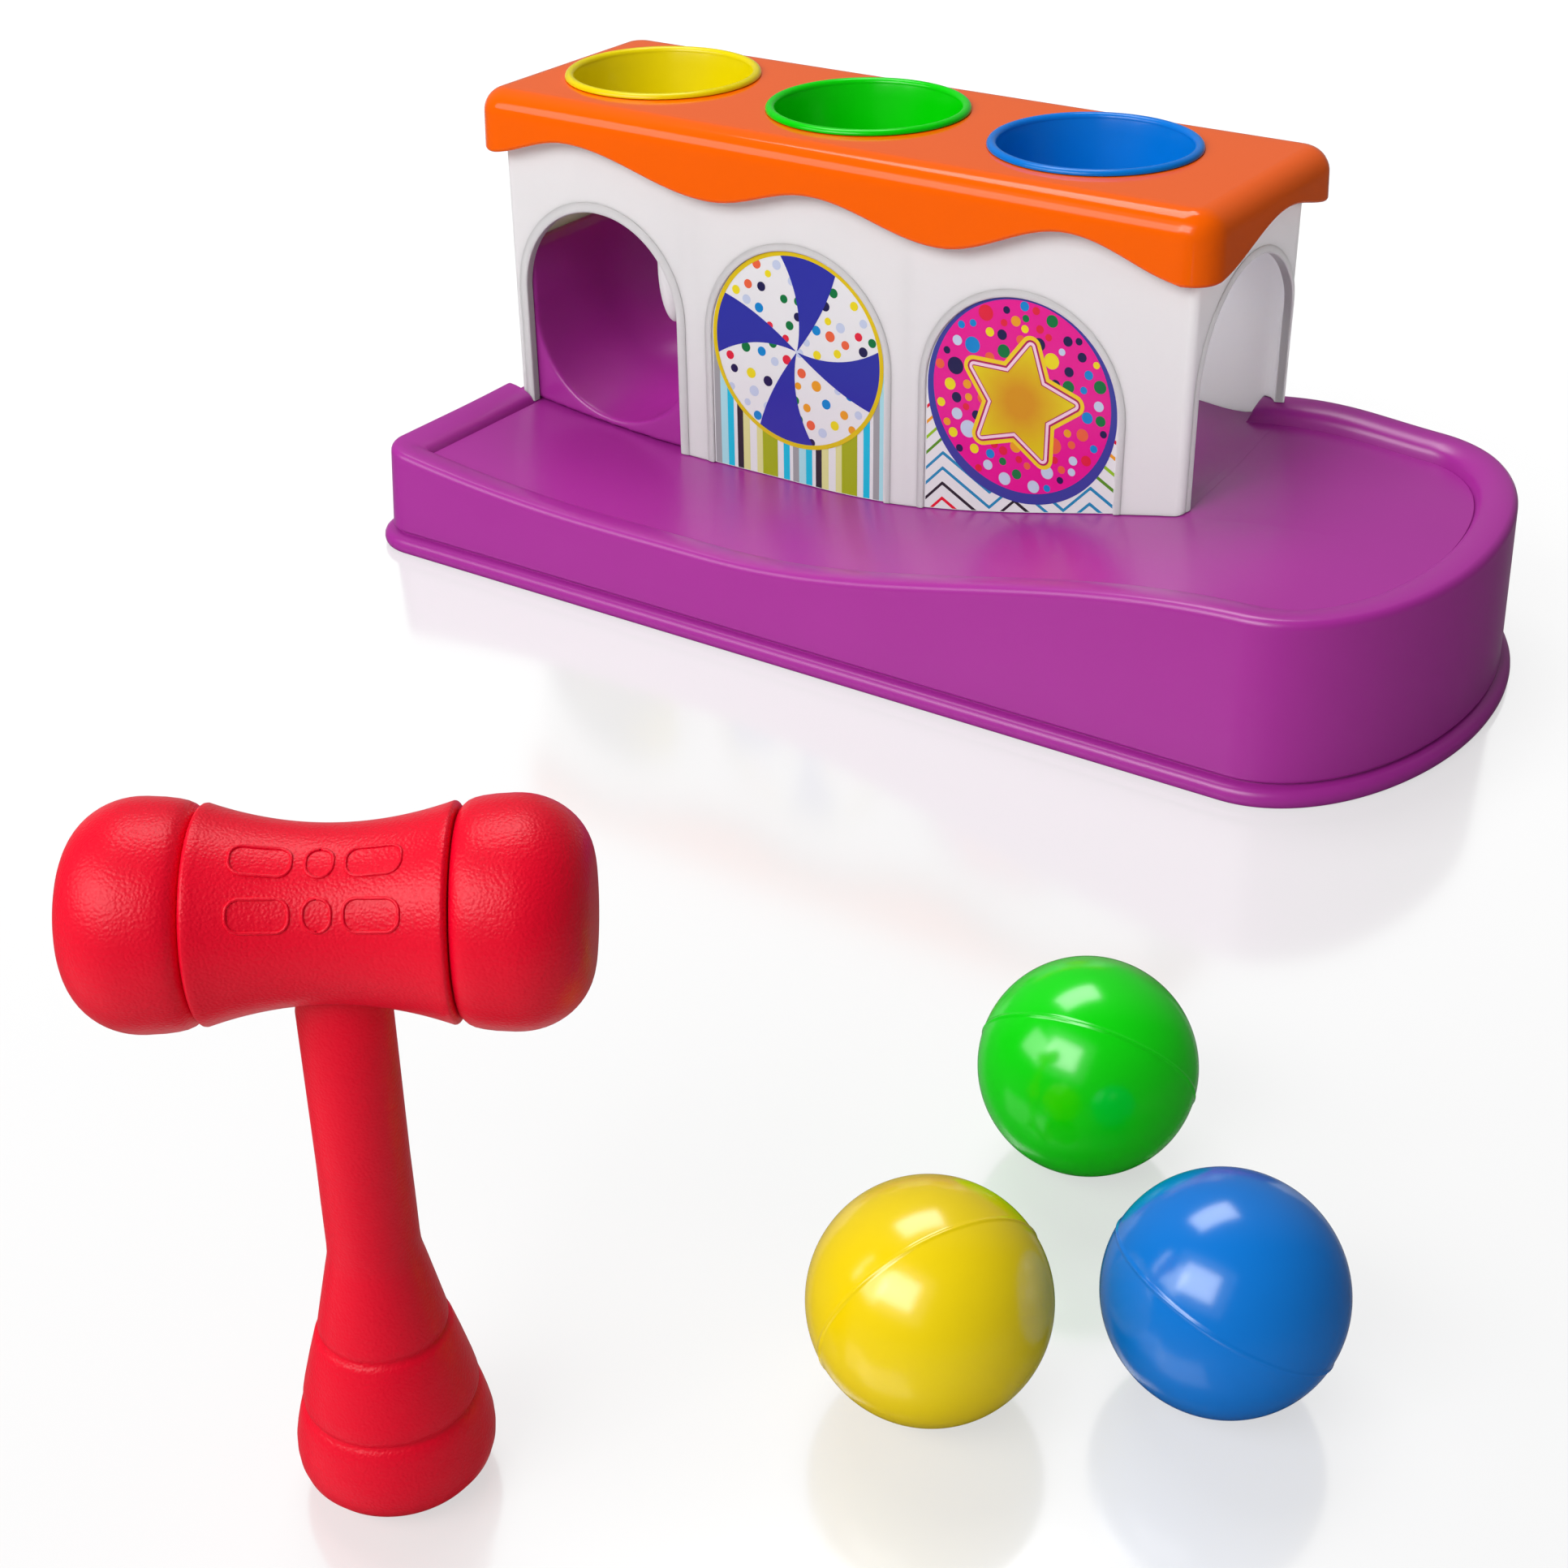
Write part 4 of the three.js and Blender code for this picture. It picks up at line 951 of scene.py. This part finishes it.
def label_base(x):
    """The film itself, with a thin edge, down to the deck."""
    foot = [(u, float(deck_height(x + u, LABEL_FACE)) + 0.3 - PANEL_Z)
            for u in np.linspace(-LABEL_R, LABEL_R, 30)]
    over = [(LABEL_R * math.cos(t), LABEL_R * math.sin(t)) for t in np.linspace(0, np.pi, 60)]
    outline = foot + over
    n = len(outline)
    points = [(x + u, y, PANEL_Z + v) for y in (LABEL_FACE, LABEL_BACK) for u, v in outline]
    faces = [tuple(range(n))[::-1], tuple(range(n, 2 * n))]
    faces += [(i, (i + 1) % n, n + (i + 1) % n, n + i) for i in range(n)]
    return new_piece("film", points, faces, inks["film"])


# Middle label: stripes, and a pinwheel of four curved sails on a spotted disc
STRIPE_CYCLE = [("grey", 2.2), ("pale_cyan", 2.6), ("cyan", 2.3), ("film", 1.3), ("black", 2.2),
                ("pale_yellow", 2.5), ("film", 2.6), ("pale_yellow", 2.2), ("olive", 5.6),
                ("film", 2.2), ("cyan", 2.3), ("film", 1.2)]
PRINT_HALF, RING, SAIL_R = 31.0, 1.4, DISC_R - 1.3
middle_layers = []
edge, k = -PRINT_HALF, 0
while edge < PRINT_HALF:
    ink, width = STRIPE_CYCLE[k % len(STRIPE_CYCLE)]
    far = min(edge + width, PRINT_HALF)
    if ink != "film":
        middle_layers.append((ink, 1, columns(
            PANELS["middle"], np.linspace(edge, far, 3), lambda u: -99, lambda u: 0)))
    edge, k = far, k + 1
middle_layers.append(("film", 2, fan(disc(DISC_V, DISC_R), (0, DISC_V))))
middle_layers.append(("gold_yellow", 5, band_between(disc(DISC_V, DISC_R),
                                                     disc(DISC_V, DISC_R - RING))))
for sail in range(4):
    edges = []
    for start, bend, power in ((-36, 8, 1.5), (-13, 24, 1)):
        line = []
        for t in np.linspace(0.02, 1, 24):
            a = math.radians(90 * sail + start + bend * t ** power)
            line.append((SAIL_R * t * math.cos(a), DISC_V + SAIL_R * t * math.sin(a)))
        edges.append(line)
    one, other = edges
    turns = [math.atan2(line[-1][1] - DISC_V, line[-1][0]) for line in edges]
    turns[1] += 2 * math.pi * (turns[1] < turns[0])
    rim_arc = [(SAIL_R * math.cos(a), DISC_V + SAIL_R * math.sin(a))
               for a in np.linspace(*turns, 20)]
    middle_layers.append(("blue", 4, [tuple(rim_arc)]))
    middle_layers.append(("blue", 4, [(one[i], one[i + 1], other[i + 1], other[i])
                                      for i in range(len(one) - 1)]))

# Right label: zigzag lines, and an outlined star on a spotted pink disc
ZIGZAG_RISE, ZIGZAG_FALL, ZIGZAG_HEIGHT = 8.3, 16.2, 8.9
ZIGZAG_TOP, ZIGZAG_PITCH, ZIGZAG_LINE = -10.5, 4.85, 1.15
PINK_V, PINK_R = DISC_V + 1.3, 28.9
ZIGZAG_INKS = ["red", "orange", "lime", "green", "sea", "sea", "black", "red", "orange", "black",
               "red"]


def zigzag(u):
    along = (u + 33.6) % (ZIGZAG_RISE + ZIGZAG_FALL)
    if along < ZIGZAG_RISE:
        return ZIGZAG_HEIGHT * along / ZIGZAG_RISE
    return ZIGZAG_HEIGHT * (1 - (along - ZIGZAG_RISE) / ZIGZAG_FALL)


def star_line(grow_by):
    """The star's outline, grown outwards with round points."""
    corners = []
    for k in range(10):
        a = STAR_TURN + k * math.pi / 5
        r = STAR_NOTCH if k % 2 else STAR_R
        corners.append(Vector((r * math.cos(a), r * math.sin(a))))
    line = []
    for k, corner in enumerate(corners):
        before, after = corner - corners[k - 1], corners[(k + 1) % 10] - corner
        side_a = Vector((before.y, -before.x)).normalized()
        side_b = Vector((after.y, -after.x)).normalized()
        if k % 2:
            middle = (side_a + side_b).normalized()
            line += [corner + middle * grow_by / middle.dot(side_a)] * 9
        else:
            line += [corner + side_a.slerp(side_b, t / 8) * grow_by for t in range(9)]
    return [(p.x, p.y + DISC_V) for p in line]


right_layers = []
for k, ink in enumerate(ZIGZAG_INKS):
    base = ZIGZAG_TOP - k * ZIGZAG_PITCH
    right_layers.append((ink, 1, columns(
        PANELS["right"], np.linspace(-PRINT_HALF, PRINT_HALF, 200), lambda u: base + zigzag(u),
        lambda u: base + zigzag(u) + ZIGZAG_LINE)))
right_layers.append(("violet", 2, fan(disc(DISC_V, DISC_R), (0, DISC_V))))
right_layers.append(("pink", 3, fan(disc(PINK_V, PINK_R), (0, DISC_V))))
for level, (ink, grow_by) in enumerate([("bright_yellow", 3.3), ("crimson", 2.1),
                                        ("blush", 1.5), ("crimson", 0.6), ("star_gold", 0.3)]):
    right_layers.append((ink, 5 + level, fan(star_line(grow_by), (0, DISC_V))))


def scatter_dots(x, middle_v, reach, sizes, gap, seed):
    """Places dots that don't touch, the largest first: (place, radius, ink number)."""
    random = np.random.default_rng(seed)
    dots = []
    for radius, tries in sizes:
        for _ in range(tries):
            a, d = random.uniform(0, 2 * np.pi), (reach - radius) * math.sqrt(random.uniform())
            u, v = d * math.cos(a), middle_v + d * math.sin(a)
            if all(math.hypot(u - du, v - dv) > radius + dr + gap for du, dv, dr, ink in dots):
                dots.append((u, v, radius * random.uniform(0.9, 1.08), random.integers(8)))
    mesh = bpy.data.meshes.new("dot_places")
    mesh.from_pydata([tuple(BENCH + MM * Vector((x + u, LABEL_FACE - 3.5 * INK_STEP, PANEL_Z + v)))
                      for u, v, r, ink in dots], [], [])
    mesh.attributes.new("radius", "FLOAT", "POINT").data.foreach_set(
        "value", [r * MM for u, v, r, ink in dots])
    mesh.attributes.new("ink", "FLOAT", "POINT").data.foreach_set(
        "value", [(ink + 0.5) / len(DOT_INKS) for u, v, r, ink in dots])
    return grow(add_object("dot_places", mesh), dot_tree, Material=dot_ink)


def make_dot_tree():
    """Sets a flat disc, facing the front, on every place, at the place's own radius."""
    tree, given = start_tree("print_dots", Places="Geometry", Material="Material")
    dot = add_node(tree, "GeometryNodeMeshCircle", {"Vertices": 24, "Radius": 1.0},
                   fill_type="NGON")
    radius = add_node(tree, "GeometryNodeInputNamedAttribute", {"Name": "radius"},
                      data_type="FLOAT")
    facing = add_node(tree, "FunctionNodeEulerToRotation", {"Euler": (math.pi / 2, 0, 0)})
    placed = add_node(tree, "GeometryNodeInstanceOnPoints", {
        "Points": given.outputs["Places"], "Instance": dot.outputs["Mesh"],
        "Rotation": facing.outputs["Rotation"], "Scale": radius.outputs["Attribute"]})
    return end_tree(tree, given, placed.outputs["Instances"])


dot_tree = make_dot_tree()
middle_dots = scatter_dots(PANELS["middle"], DISC_V, DISC_R - 0.6,
                           [(1.6, 30), (1.45, 300), (1.25, 500)], 1.45, 3)
right_dots = scatter_dots(PANELS["right"], PINK_V, PINK_R,
                          [(2.5, 12), (1.9, 40), (1.5, 200), (1.15, 1200)], 0.75, 8)
for name, layers, dots in (("middle", middle_layers, middle_dots),
                           ("right", right_layers, right_dots)):
    label = label_base(PANELS[name])
    label.name = f"label_{name}_print"
    join(label, print_layers("layers", PANELS[name], layers), dots)
    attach(label, "bench")
    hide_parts(f"label_{name}")

# Balls
# Blow-moulded polyethylene, glossy, with the faint ridge of the mould's parting line.
BALL_R = 22.5
SEAM = [(0, -0.45), (0.13, -0.25), (0.2, 0), (0.13, 0.25), (0, 0.45)]
BALLS = {"yellow": ((224, -332), (73, -118)), "green": ((215, -254.5), (58, -170)),
         "blue": ((267.5, -301), (32, 147))}
BALL_COLOURS = {"yellow": "#F8DA00", "green": "#00E400", "blue": "#0079D8"}
for colour, (place, tilt) in BALLS.items():
    # Blown polyethylene: waxy gloss that mirrors the lamps in soft-edged patches
    polyethylene = moulded(f"gloss_{colour}_polyethylene", BALL_COLOURS[colour], 0.18, 0.8,
                           grain=0.6, grain_bump=0.01)
    centre = BENCH + MM * Vector((*place, BALL_R))
    lower = [(BALL_R * math.cos(a), BALL_R * math.sin(a))
             for a in (math.radians(-90 + step * 2) for step in range(1, 45))]
    upper = [(BALL_R * math.cos(a), BALL_R * math.sin(a))
             for a in (math.radians(-90 + step * 2) for step in range(46, 90))]
    seam = [(BALL_R + rise, h) for rise, h in SEAM]
    points, faces = turned([(0, -BALL_R)] + lower + seam + upper + [(0, BALL_R)], 128)
    lean = Matrix.Rotation(math.radians(tilt[1]), 3, "Z") @ Matrix.Rotation(
        math.radians(tilt[0]), 3, "X")
    ball = new_piece(f"ball_{colour}_moulding", [tuple(lean @ Vector(p)) for p in points], faces,
                     polyethylene, origin=centre)
    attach(ball, f"ball_{colour[0]}")
    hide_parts(f"ball_{colour}")

# Hammer
# Red blow-moulded polyethylene with a fine leather grain: a waisted barrel, a domed cap on
# each end, and a handle that flares into a stepped butt. Thin raised lines outline six pads.


def pebbled(material, cell, depth):
    """Adds a leather grain: rounded pebbles of uneven size, with creases between them."""
    tree = material.node_tree
    place = add_node(tree, "ShaderNodeTexCoord").outputs["Object"]
    drift = add_node(tree, "ShaderNodeTexNoise", {"Vector": place, "Scale": 0.5 / (cell * MM)})
    shifted = add_node(tree, "ShaderNodeVectorMath", {
        0: drift.outputs["Color"], 1: (0.5 * cell * MM,) * 3, 2: place}, operation="MULTIPLY_ADD")
    cells = add_node(tree, "ShaderNodeTexVoronoi", {
        "Vector": shifted.outputs["Vector"], "Scale": 1 / (cell * MM), "Smoothness": 0.6},
        feature="SMOOTH_F1")
    bump = add_node(tree, "ShaderNodeBump", {
        "Height": cells.outputs["Distance"], "Strength": 1.0, "Distance": depth * MM},
        invert=True)
    shader = tree.nodes["Principled BSDF"]
    tree.links.new(shader.inputs["Normal"].links[0].from_socket, bump.inputs["Normal"])
    tree.links.new(bump.outputs["Normal"], shader.inputs["Normal"])
    return material


# Grained polyethylene: the pebbles of 0.5 mm break its highlights into a fine sparkle.
leather_red = moulded("grained_red_polyethylene", "#EA0028", 0.36, 0.26, grain=0.3,
                      grain_bump=0.03)
pebbled(leather_red, 0.5, 0.075)
HAMMER_AT, HAMMER_TURN, HEAD_Z, HEAD_LENGTH, CAP_R = (154.5, -399), 34, 118, 82, 18.5
CAP_LENGTH, GROOVE, BARREL_END_R, WAIST_R, HANDLE_R = 20.5, 1, 17.4, 14.1, 7.7
hammer_origin = BENCH + MM * Vector((*HAMMER_AT, 0))
hammer_spin = Matrix.Rotation(math.radians(HAMMER_TURN), 4, "Z")
head_frame = hammer_spin @ Matrix.Translation((0, 0, HEAD_Z)) @ Matrix.Rotation(
    math.pi / 2, 4, "Y")
BARREL_HALF = HEAD_LENGTH / 2 - CAP_LENGTH - GROOVE / 2


def hammer_piece(name, profile, place, node_name):
    """A turned piece of the hammer, which takes the place of one node."""
    points, faces = turned(profile, 128)
    piece = new_piece(name, [tuple(place @ Vector(p)) for p in points], faces, leather_red,
                      sharp=50, origin=hammer_origin)
    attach(piece, "hammer")
    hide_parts(node_name)
    return piece


def barrel_r(h):
    return WAIST_R + (BARREL_END_R - WAIST_R) * abs(h / (BARREL_HALF - 0.8)) ** 2


spigot = [(0, -BARREL_HALF - 8), (10.8, -BARREL_HALF - 8), (11.2, -BARREL_HALF - 7.5),
          (11.2, -BARREL_HALF)]
corner = [(BARREL_END_R - 1.3 + 1.3 * math.sin(a), -BARREL_HALF + 0.9 * (1 - math.cos(a)))
          for a in np.linspace(0, np.pi / 2, 6)[:-1]]
waist = [(barrel_r(h), h) for h in np.linspace(-BARREL_HALF + 0.9, BARREL_HALF - 0.9, 41)]
barrel_profile = spigot + corner + waist + [(r, -h) for r, h in (spigot + corner)[::-1]]
barrel = hammer_piece("hammer_barrel_moulding", barrel_profile, head_frame, "hammer_barrel")


def make_sweep_tree():
    """Sweeps a round section along the incoming line."""
    tree, given = start_tree("sweep_round", Line="Geometry", Radius="Float", Sides="Int",
                             Material="Material")
    line = add_node(tree, "GeometryNodeMeshToCurve", {"Mesh": given.outputs["Line"]})
    section = add_node(tree, "GeometryNodeCurvePrimitiveCircle", {
        "Resolution": given.outputs["Sides"], "Radius": given.outputs["Radius"]})
    swept = add_node(tree, "GeometryNodeCurveToMesh", {
        "Curve": line.outputs["Curve"], "Profile Curve": section.outputs["Curve"],
        "Fill Caps": True})
    smooth = add_node(tree, "GeometryNodeSetShadeSmooth", {"Geometry": swept.outputs["Mesh"]})
    return end_tree(tree, given, smooth.outputs["Geometry"])


def swept_bead(name, points, radius, sides, material, origin):
    """A round bead along a closed line of points."""
    mesh = bpy.data.meshes.new(name)
    edges = [(i, (i + 1) % len(points)) for i in range(len(points))]
    mesh.from_pydata([tuple(origin + MM * Vector(p)) for p in points], edges, [])
    return grow(add_object(name, mesh), sweep_tree, Radius=radius * MM, Sides=sides,
                Material=material)


sweep_tree = make_sweep_tree()

# Raised outlines of the pads: (left, right, roundness)
PAD_HALF, PAD_LINE_R = 2.55, 0.28
pads = [(-13.1, -3.9, 0.8), (-1.8, 2.4, 1), (4.3, 12.8, 0.8)]
pad_lines = []
for row in (32, 66):
    for left, right, roundness in pads:
        half_u, line = (right - left) / 2, []
        r = min(half_u, PAD_HALF) * roundness
        for cu, cv, start in ((1, 1, 0), (-1, 1, 90), (-1, -1, 180), (1, -1, 270)):
            for step in range(7):
                a = math.radians(start + step * 15)
                u = (left + right) / 2 + cu * (half_u - r) + r * math.cos(a)
                v = cv * (PAD_HALF - r) + r * math.sin(a)
                surface = barrel_r(u) + 0.02
                turn = math.radians(row) + v / surface
                spot = Vector((u, -surface * math.cos(turn), HEAD_Z + surface * math.sin(turn)))
                line.append(tuple(hammer_spin @ spot))
        pad_lines.append(swept_bead("pad", line, PAD_LINE_R, 8, leather_red, hammer_origin))
join(barrel, *pad_lines)

seat, end = HEAD_LENGTH / 2 - CAP_LENGTH + GROOVE / 2, HEAD_LENGTH / 2
cap_profile = [(0, seat + 8.3), (11.5, seat + 8.3), (11.5, seat - 0.8), (CAP_R - 2.6, seat - 0.8),
               (CAP_R - 2.1, seat - 0.6), (CAP_R - 1.6, seat - 0.1), (CAP_R - 1.1, seat + 0.5),
               (CAP_R - 0.7, seat + 1.4), (CAP_R - 0.4, seat + 2.7), (CAP_R - 0.15, seat + 4.6),
               (CAP_R, seat + 7.5)]
across, along = 0.58 * CAP_R, end - seat - 8.4
for t in np.linspace(0.04, 0.97, 16) * math.pi / 2:
    cap_profile.append((CAP_R - across * (1 - math.cos(t)), end - 0.3 - along * (1 - math.sin(t))))
cap_profile += [(0.36 * CAP_R, end - 0.2), (0.2 * CAP_R, end - 0.05), (0, end)]
hammer_piece("hammer_cap_right_moulding", cap_profile, head_frame, "hammer_cap_right")
hammer_piece("hammer_cap_left_moulding", cap_profile,
             head_frame @ Matrix.Rotation(math.pi, 4, "Y"), "hammer_cap_left")

handle_profile = [(0, 0), (8, 0), (9.4, 0.1), (11.5, 0.6), (13.6, 1.6), (15.4, 3), (16.7, 4.8),
                  (17.25, 6.7), (17.4, 8.6), (17.3, 10.8), (16.9, 13), (16.35, 15.4),
                  (15.75, 17.6), (15.3, 18.2), (14.9, 18.6), (14.9, 19), (15.2, 19.5),
                  (15.25, 20.3), (14.8, 22.4), (13.4, 27.9), (12.05, 32.8), (11.6, 33.6),
                  (11, 34), (10.95, 34.4), (11.15, 34.9), (11.15, 35.6), (10.95, 36.6),
                  (10.25, 39.9), (9.4, 43.9), (8.7, 47.2), (8.2, 49.4), (7.95, 50.8), (7.85, 53),
                  (7.8, 62), (HANDLE_R, 70), (HANDLE_R, 100.6), (HANDLE_R - 0.2, 101),
                  (HANDLE_R - 0.2, HEAD_Z + 7), (0, HEAD_Z + 7)]
hammer_piece("hammer_handle_moulding", handle_profile, hammer_spin, "hammer_handle")

# Studio
# A white acrylic sheet that the camera sees as white, with the set's faint mirror image and
# soft shadow in it, soft boxes at the front left, one overhead, and a dim room.
floor_mesh = bpy.data.meshes.new("studio_floor")
FLOOR_HALF = 4
floor_mesh.from_pydata([(x * FLOOR_HALF, y * FLOOR_HALF, 0)
                        for x, y in ((-1, -1), (1, -1), (1, 1), (-1, 1))], [], [(0, 1, 2, 3)])
floor = add_object("studio_floor", floor_mesh)
acrylic, floor_tree, floor_shader = new_material(
    "white_acrylic_sheet", Roughness=0.14, IOR=1.95, Emission_Color=(1, 1, 1, 1))
ray = add_node(floor_tree, "ShaderNodeLightPath")
seen = add_node(floor_tree, "ShaderNodeMath", {
    0: ray.outputs["Is Camera Ray"], 1: -0.58, 2: 0.8}, operation="MULTIPLY_ADD")
whiteness = add_node(floor_tree, "ShaderNodeMath", {
    0: ray.outputs["Is Glossy Ray"], 1: -0.72, 2: seen.outputs["Value"]},
    operation="MULTIPLY_ADD")
glow = add_node(floor_tree, "ShaderNodeMath", {0: ray.outputs["Is Camera Ray"], 1: 0.62},
                operation="MULTIPLY")
floor_tree.links.new(whiteness.outputs["Value"], floor_shader.inputs["Base Color"])
floor_tree.links.new(glow.outputs["Value"], floor_shader.inputs["Emission Strength"])
floor.data.materials.append(acrylic)


def soft_box(name, place, aim, size, watts):
    """A rectangular area lamp, in metres from the bench."""
    data = bpy.data.lights.new(name, "AREA")
    data.shape = "RECTANGLE"
    data.size, data.size_y = size
    data.energy = watts
    lamp = add_object(name, data)
    lamp.location = BENCH + Vector(place)
    toward = BENCH + Vector(aim) - lamp.location
    lamp.rotation_euler = toward.to_track_quat("-Z", "Y").to_euler()
    return lamp


SET_MIDDLE = (0.1, -0.15, 0.03)
soft_box("key_core", (-0.03, -1.69, 1.30), SET_MIDDLE, (1.2, 0.9), 19)
soft_box("key_left", (-0.97, -1.52, 1.08), SET_MIDDLE, (1.2, 0.8), 9)
soft_box("key_cloth", (-0.04, -1.75, 1.35), SET_MIDDLE, (2.2, 1.7), 5.5)
soft_box("top_box", (-0.37, 0.2, 1.52), SET_MIDDLE, (1.0, 0.6), 11)
# A card at the right that only lights the white walls
card = soft_box("right_card", (1.1, -0.1, 0.3), (0.1, 0, 0.06), (0.6, 0.5), 3.4)
white_walls = bpy.data.collections.new("white_walls")
white_walls.objects.link(house)
card.light_linking.receiver_collection = white_walls
# Light that comes through the thin white walls into the right bay
glow_inside = soft_box("light_through_walls", (0.082, -0.022, 0.075), (0.125, 0.034, 0.068),
                       (0.03, 0.05), 0.019)
glow_inside.visible_camera = False
glow_inside.visible_glossy = False
glow_inside.light_linking.receiver_collection = white_walls
# The white paper behind the set, which only the floor mirrors
paper = soft_box("white_paper", (-1.4, 1.9, 1.45), SET_MIDDLE, (4.5, 4.5), 60)
paper.visible_diffuse = False
paper.visible_camera = False
mirroring = bpy.data.collections.new("mirroring")
mirroring.objects.link(floor)
paper.light_linking.receiver_collection = mirroring

# The room is white to the camera, and dim in reflections, except for the white sweep behind.
world = bpy.data.worlds.new("studio")
bpy.context.scene.world = world
world.use_nodes = True
room = world.node_tree
ray = add_node(room, "ShaderNodeLightPath")
view = add_node(room, "ShaderNodeTexCoord")
behind = add_node(room, "ShaderNodeVectorMath", {
    0: view.outputs["Generated"], 1: (-0.49, 0.71, 0.5)}, operation="DOT_PRODUCT")
sweep = add_node(room, "ShaderNodeMapRange", {
    "Value": behind.outputs["Value"], "From Min": 0.4, "From Max": 0.8, "To Min": 0.08,
    "To Max": 0.25})
level = add_node(room, "ShaderNodeMix", {
    "Factor": ray.outputs["Is Glossy Ray"], "A": 0.19, "B": sweep.outputs["Result"]},
    data_type="FLOAT")
brightness = add_node(room, "ShaderNodeMath", {
    0: level.outputs["Result"], 1: ray.outputs["Is Camera Ray"]}, operation="MAXIMUM")
background = room.nodes["Background"]
background.inputs["Color"].default_value = (1, 1, 1, 1)
room.links.new(brightness.outputs["Value"], background.inputs["Strength"])
bpy.context.scene.view_settings.view_transform = "Standard"
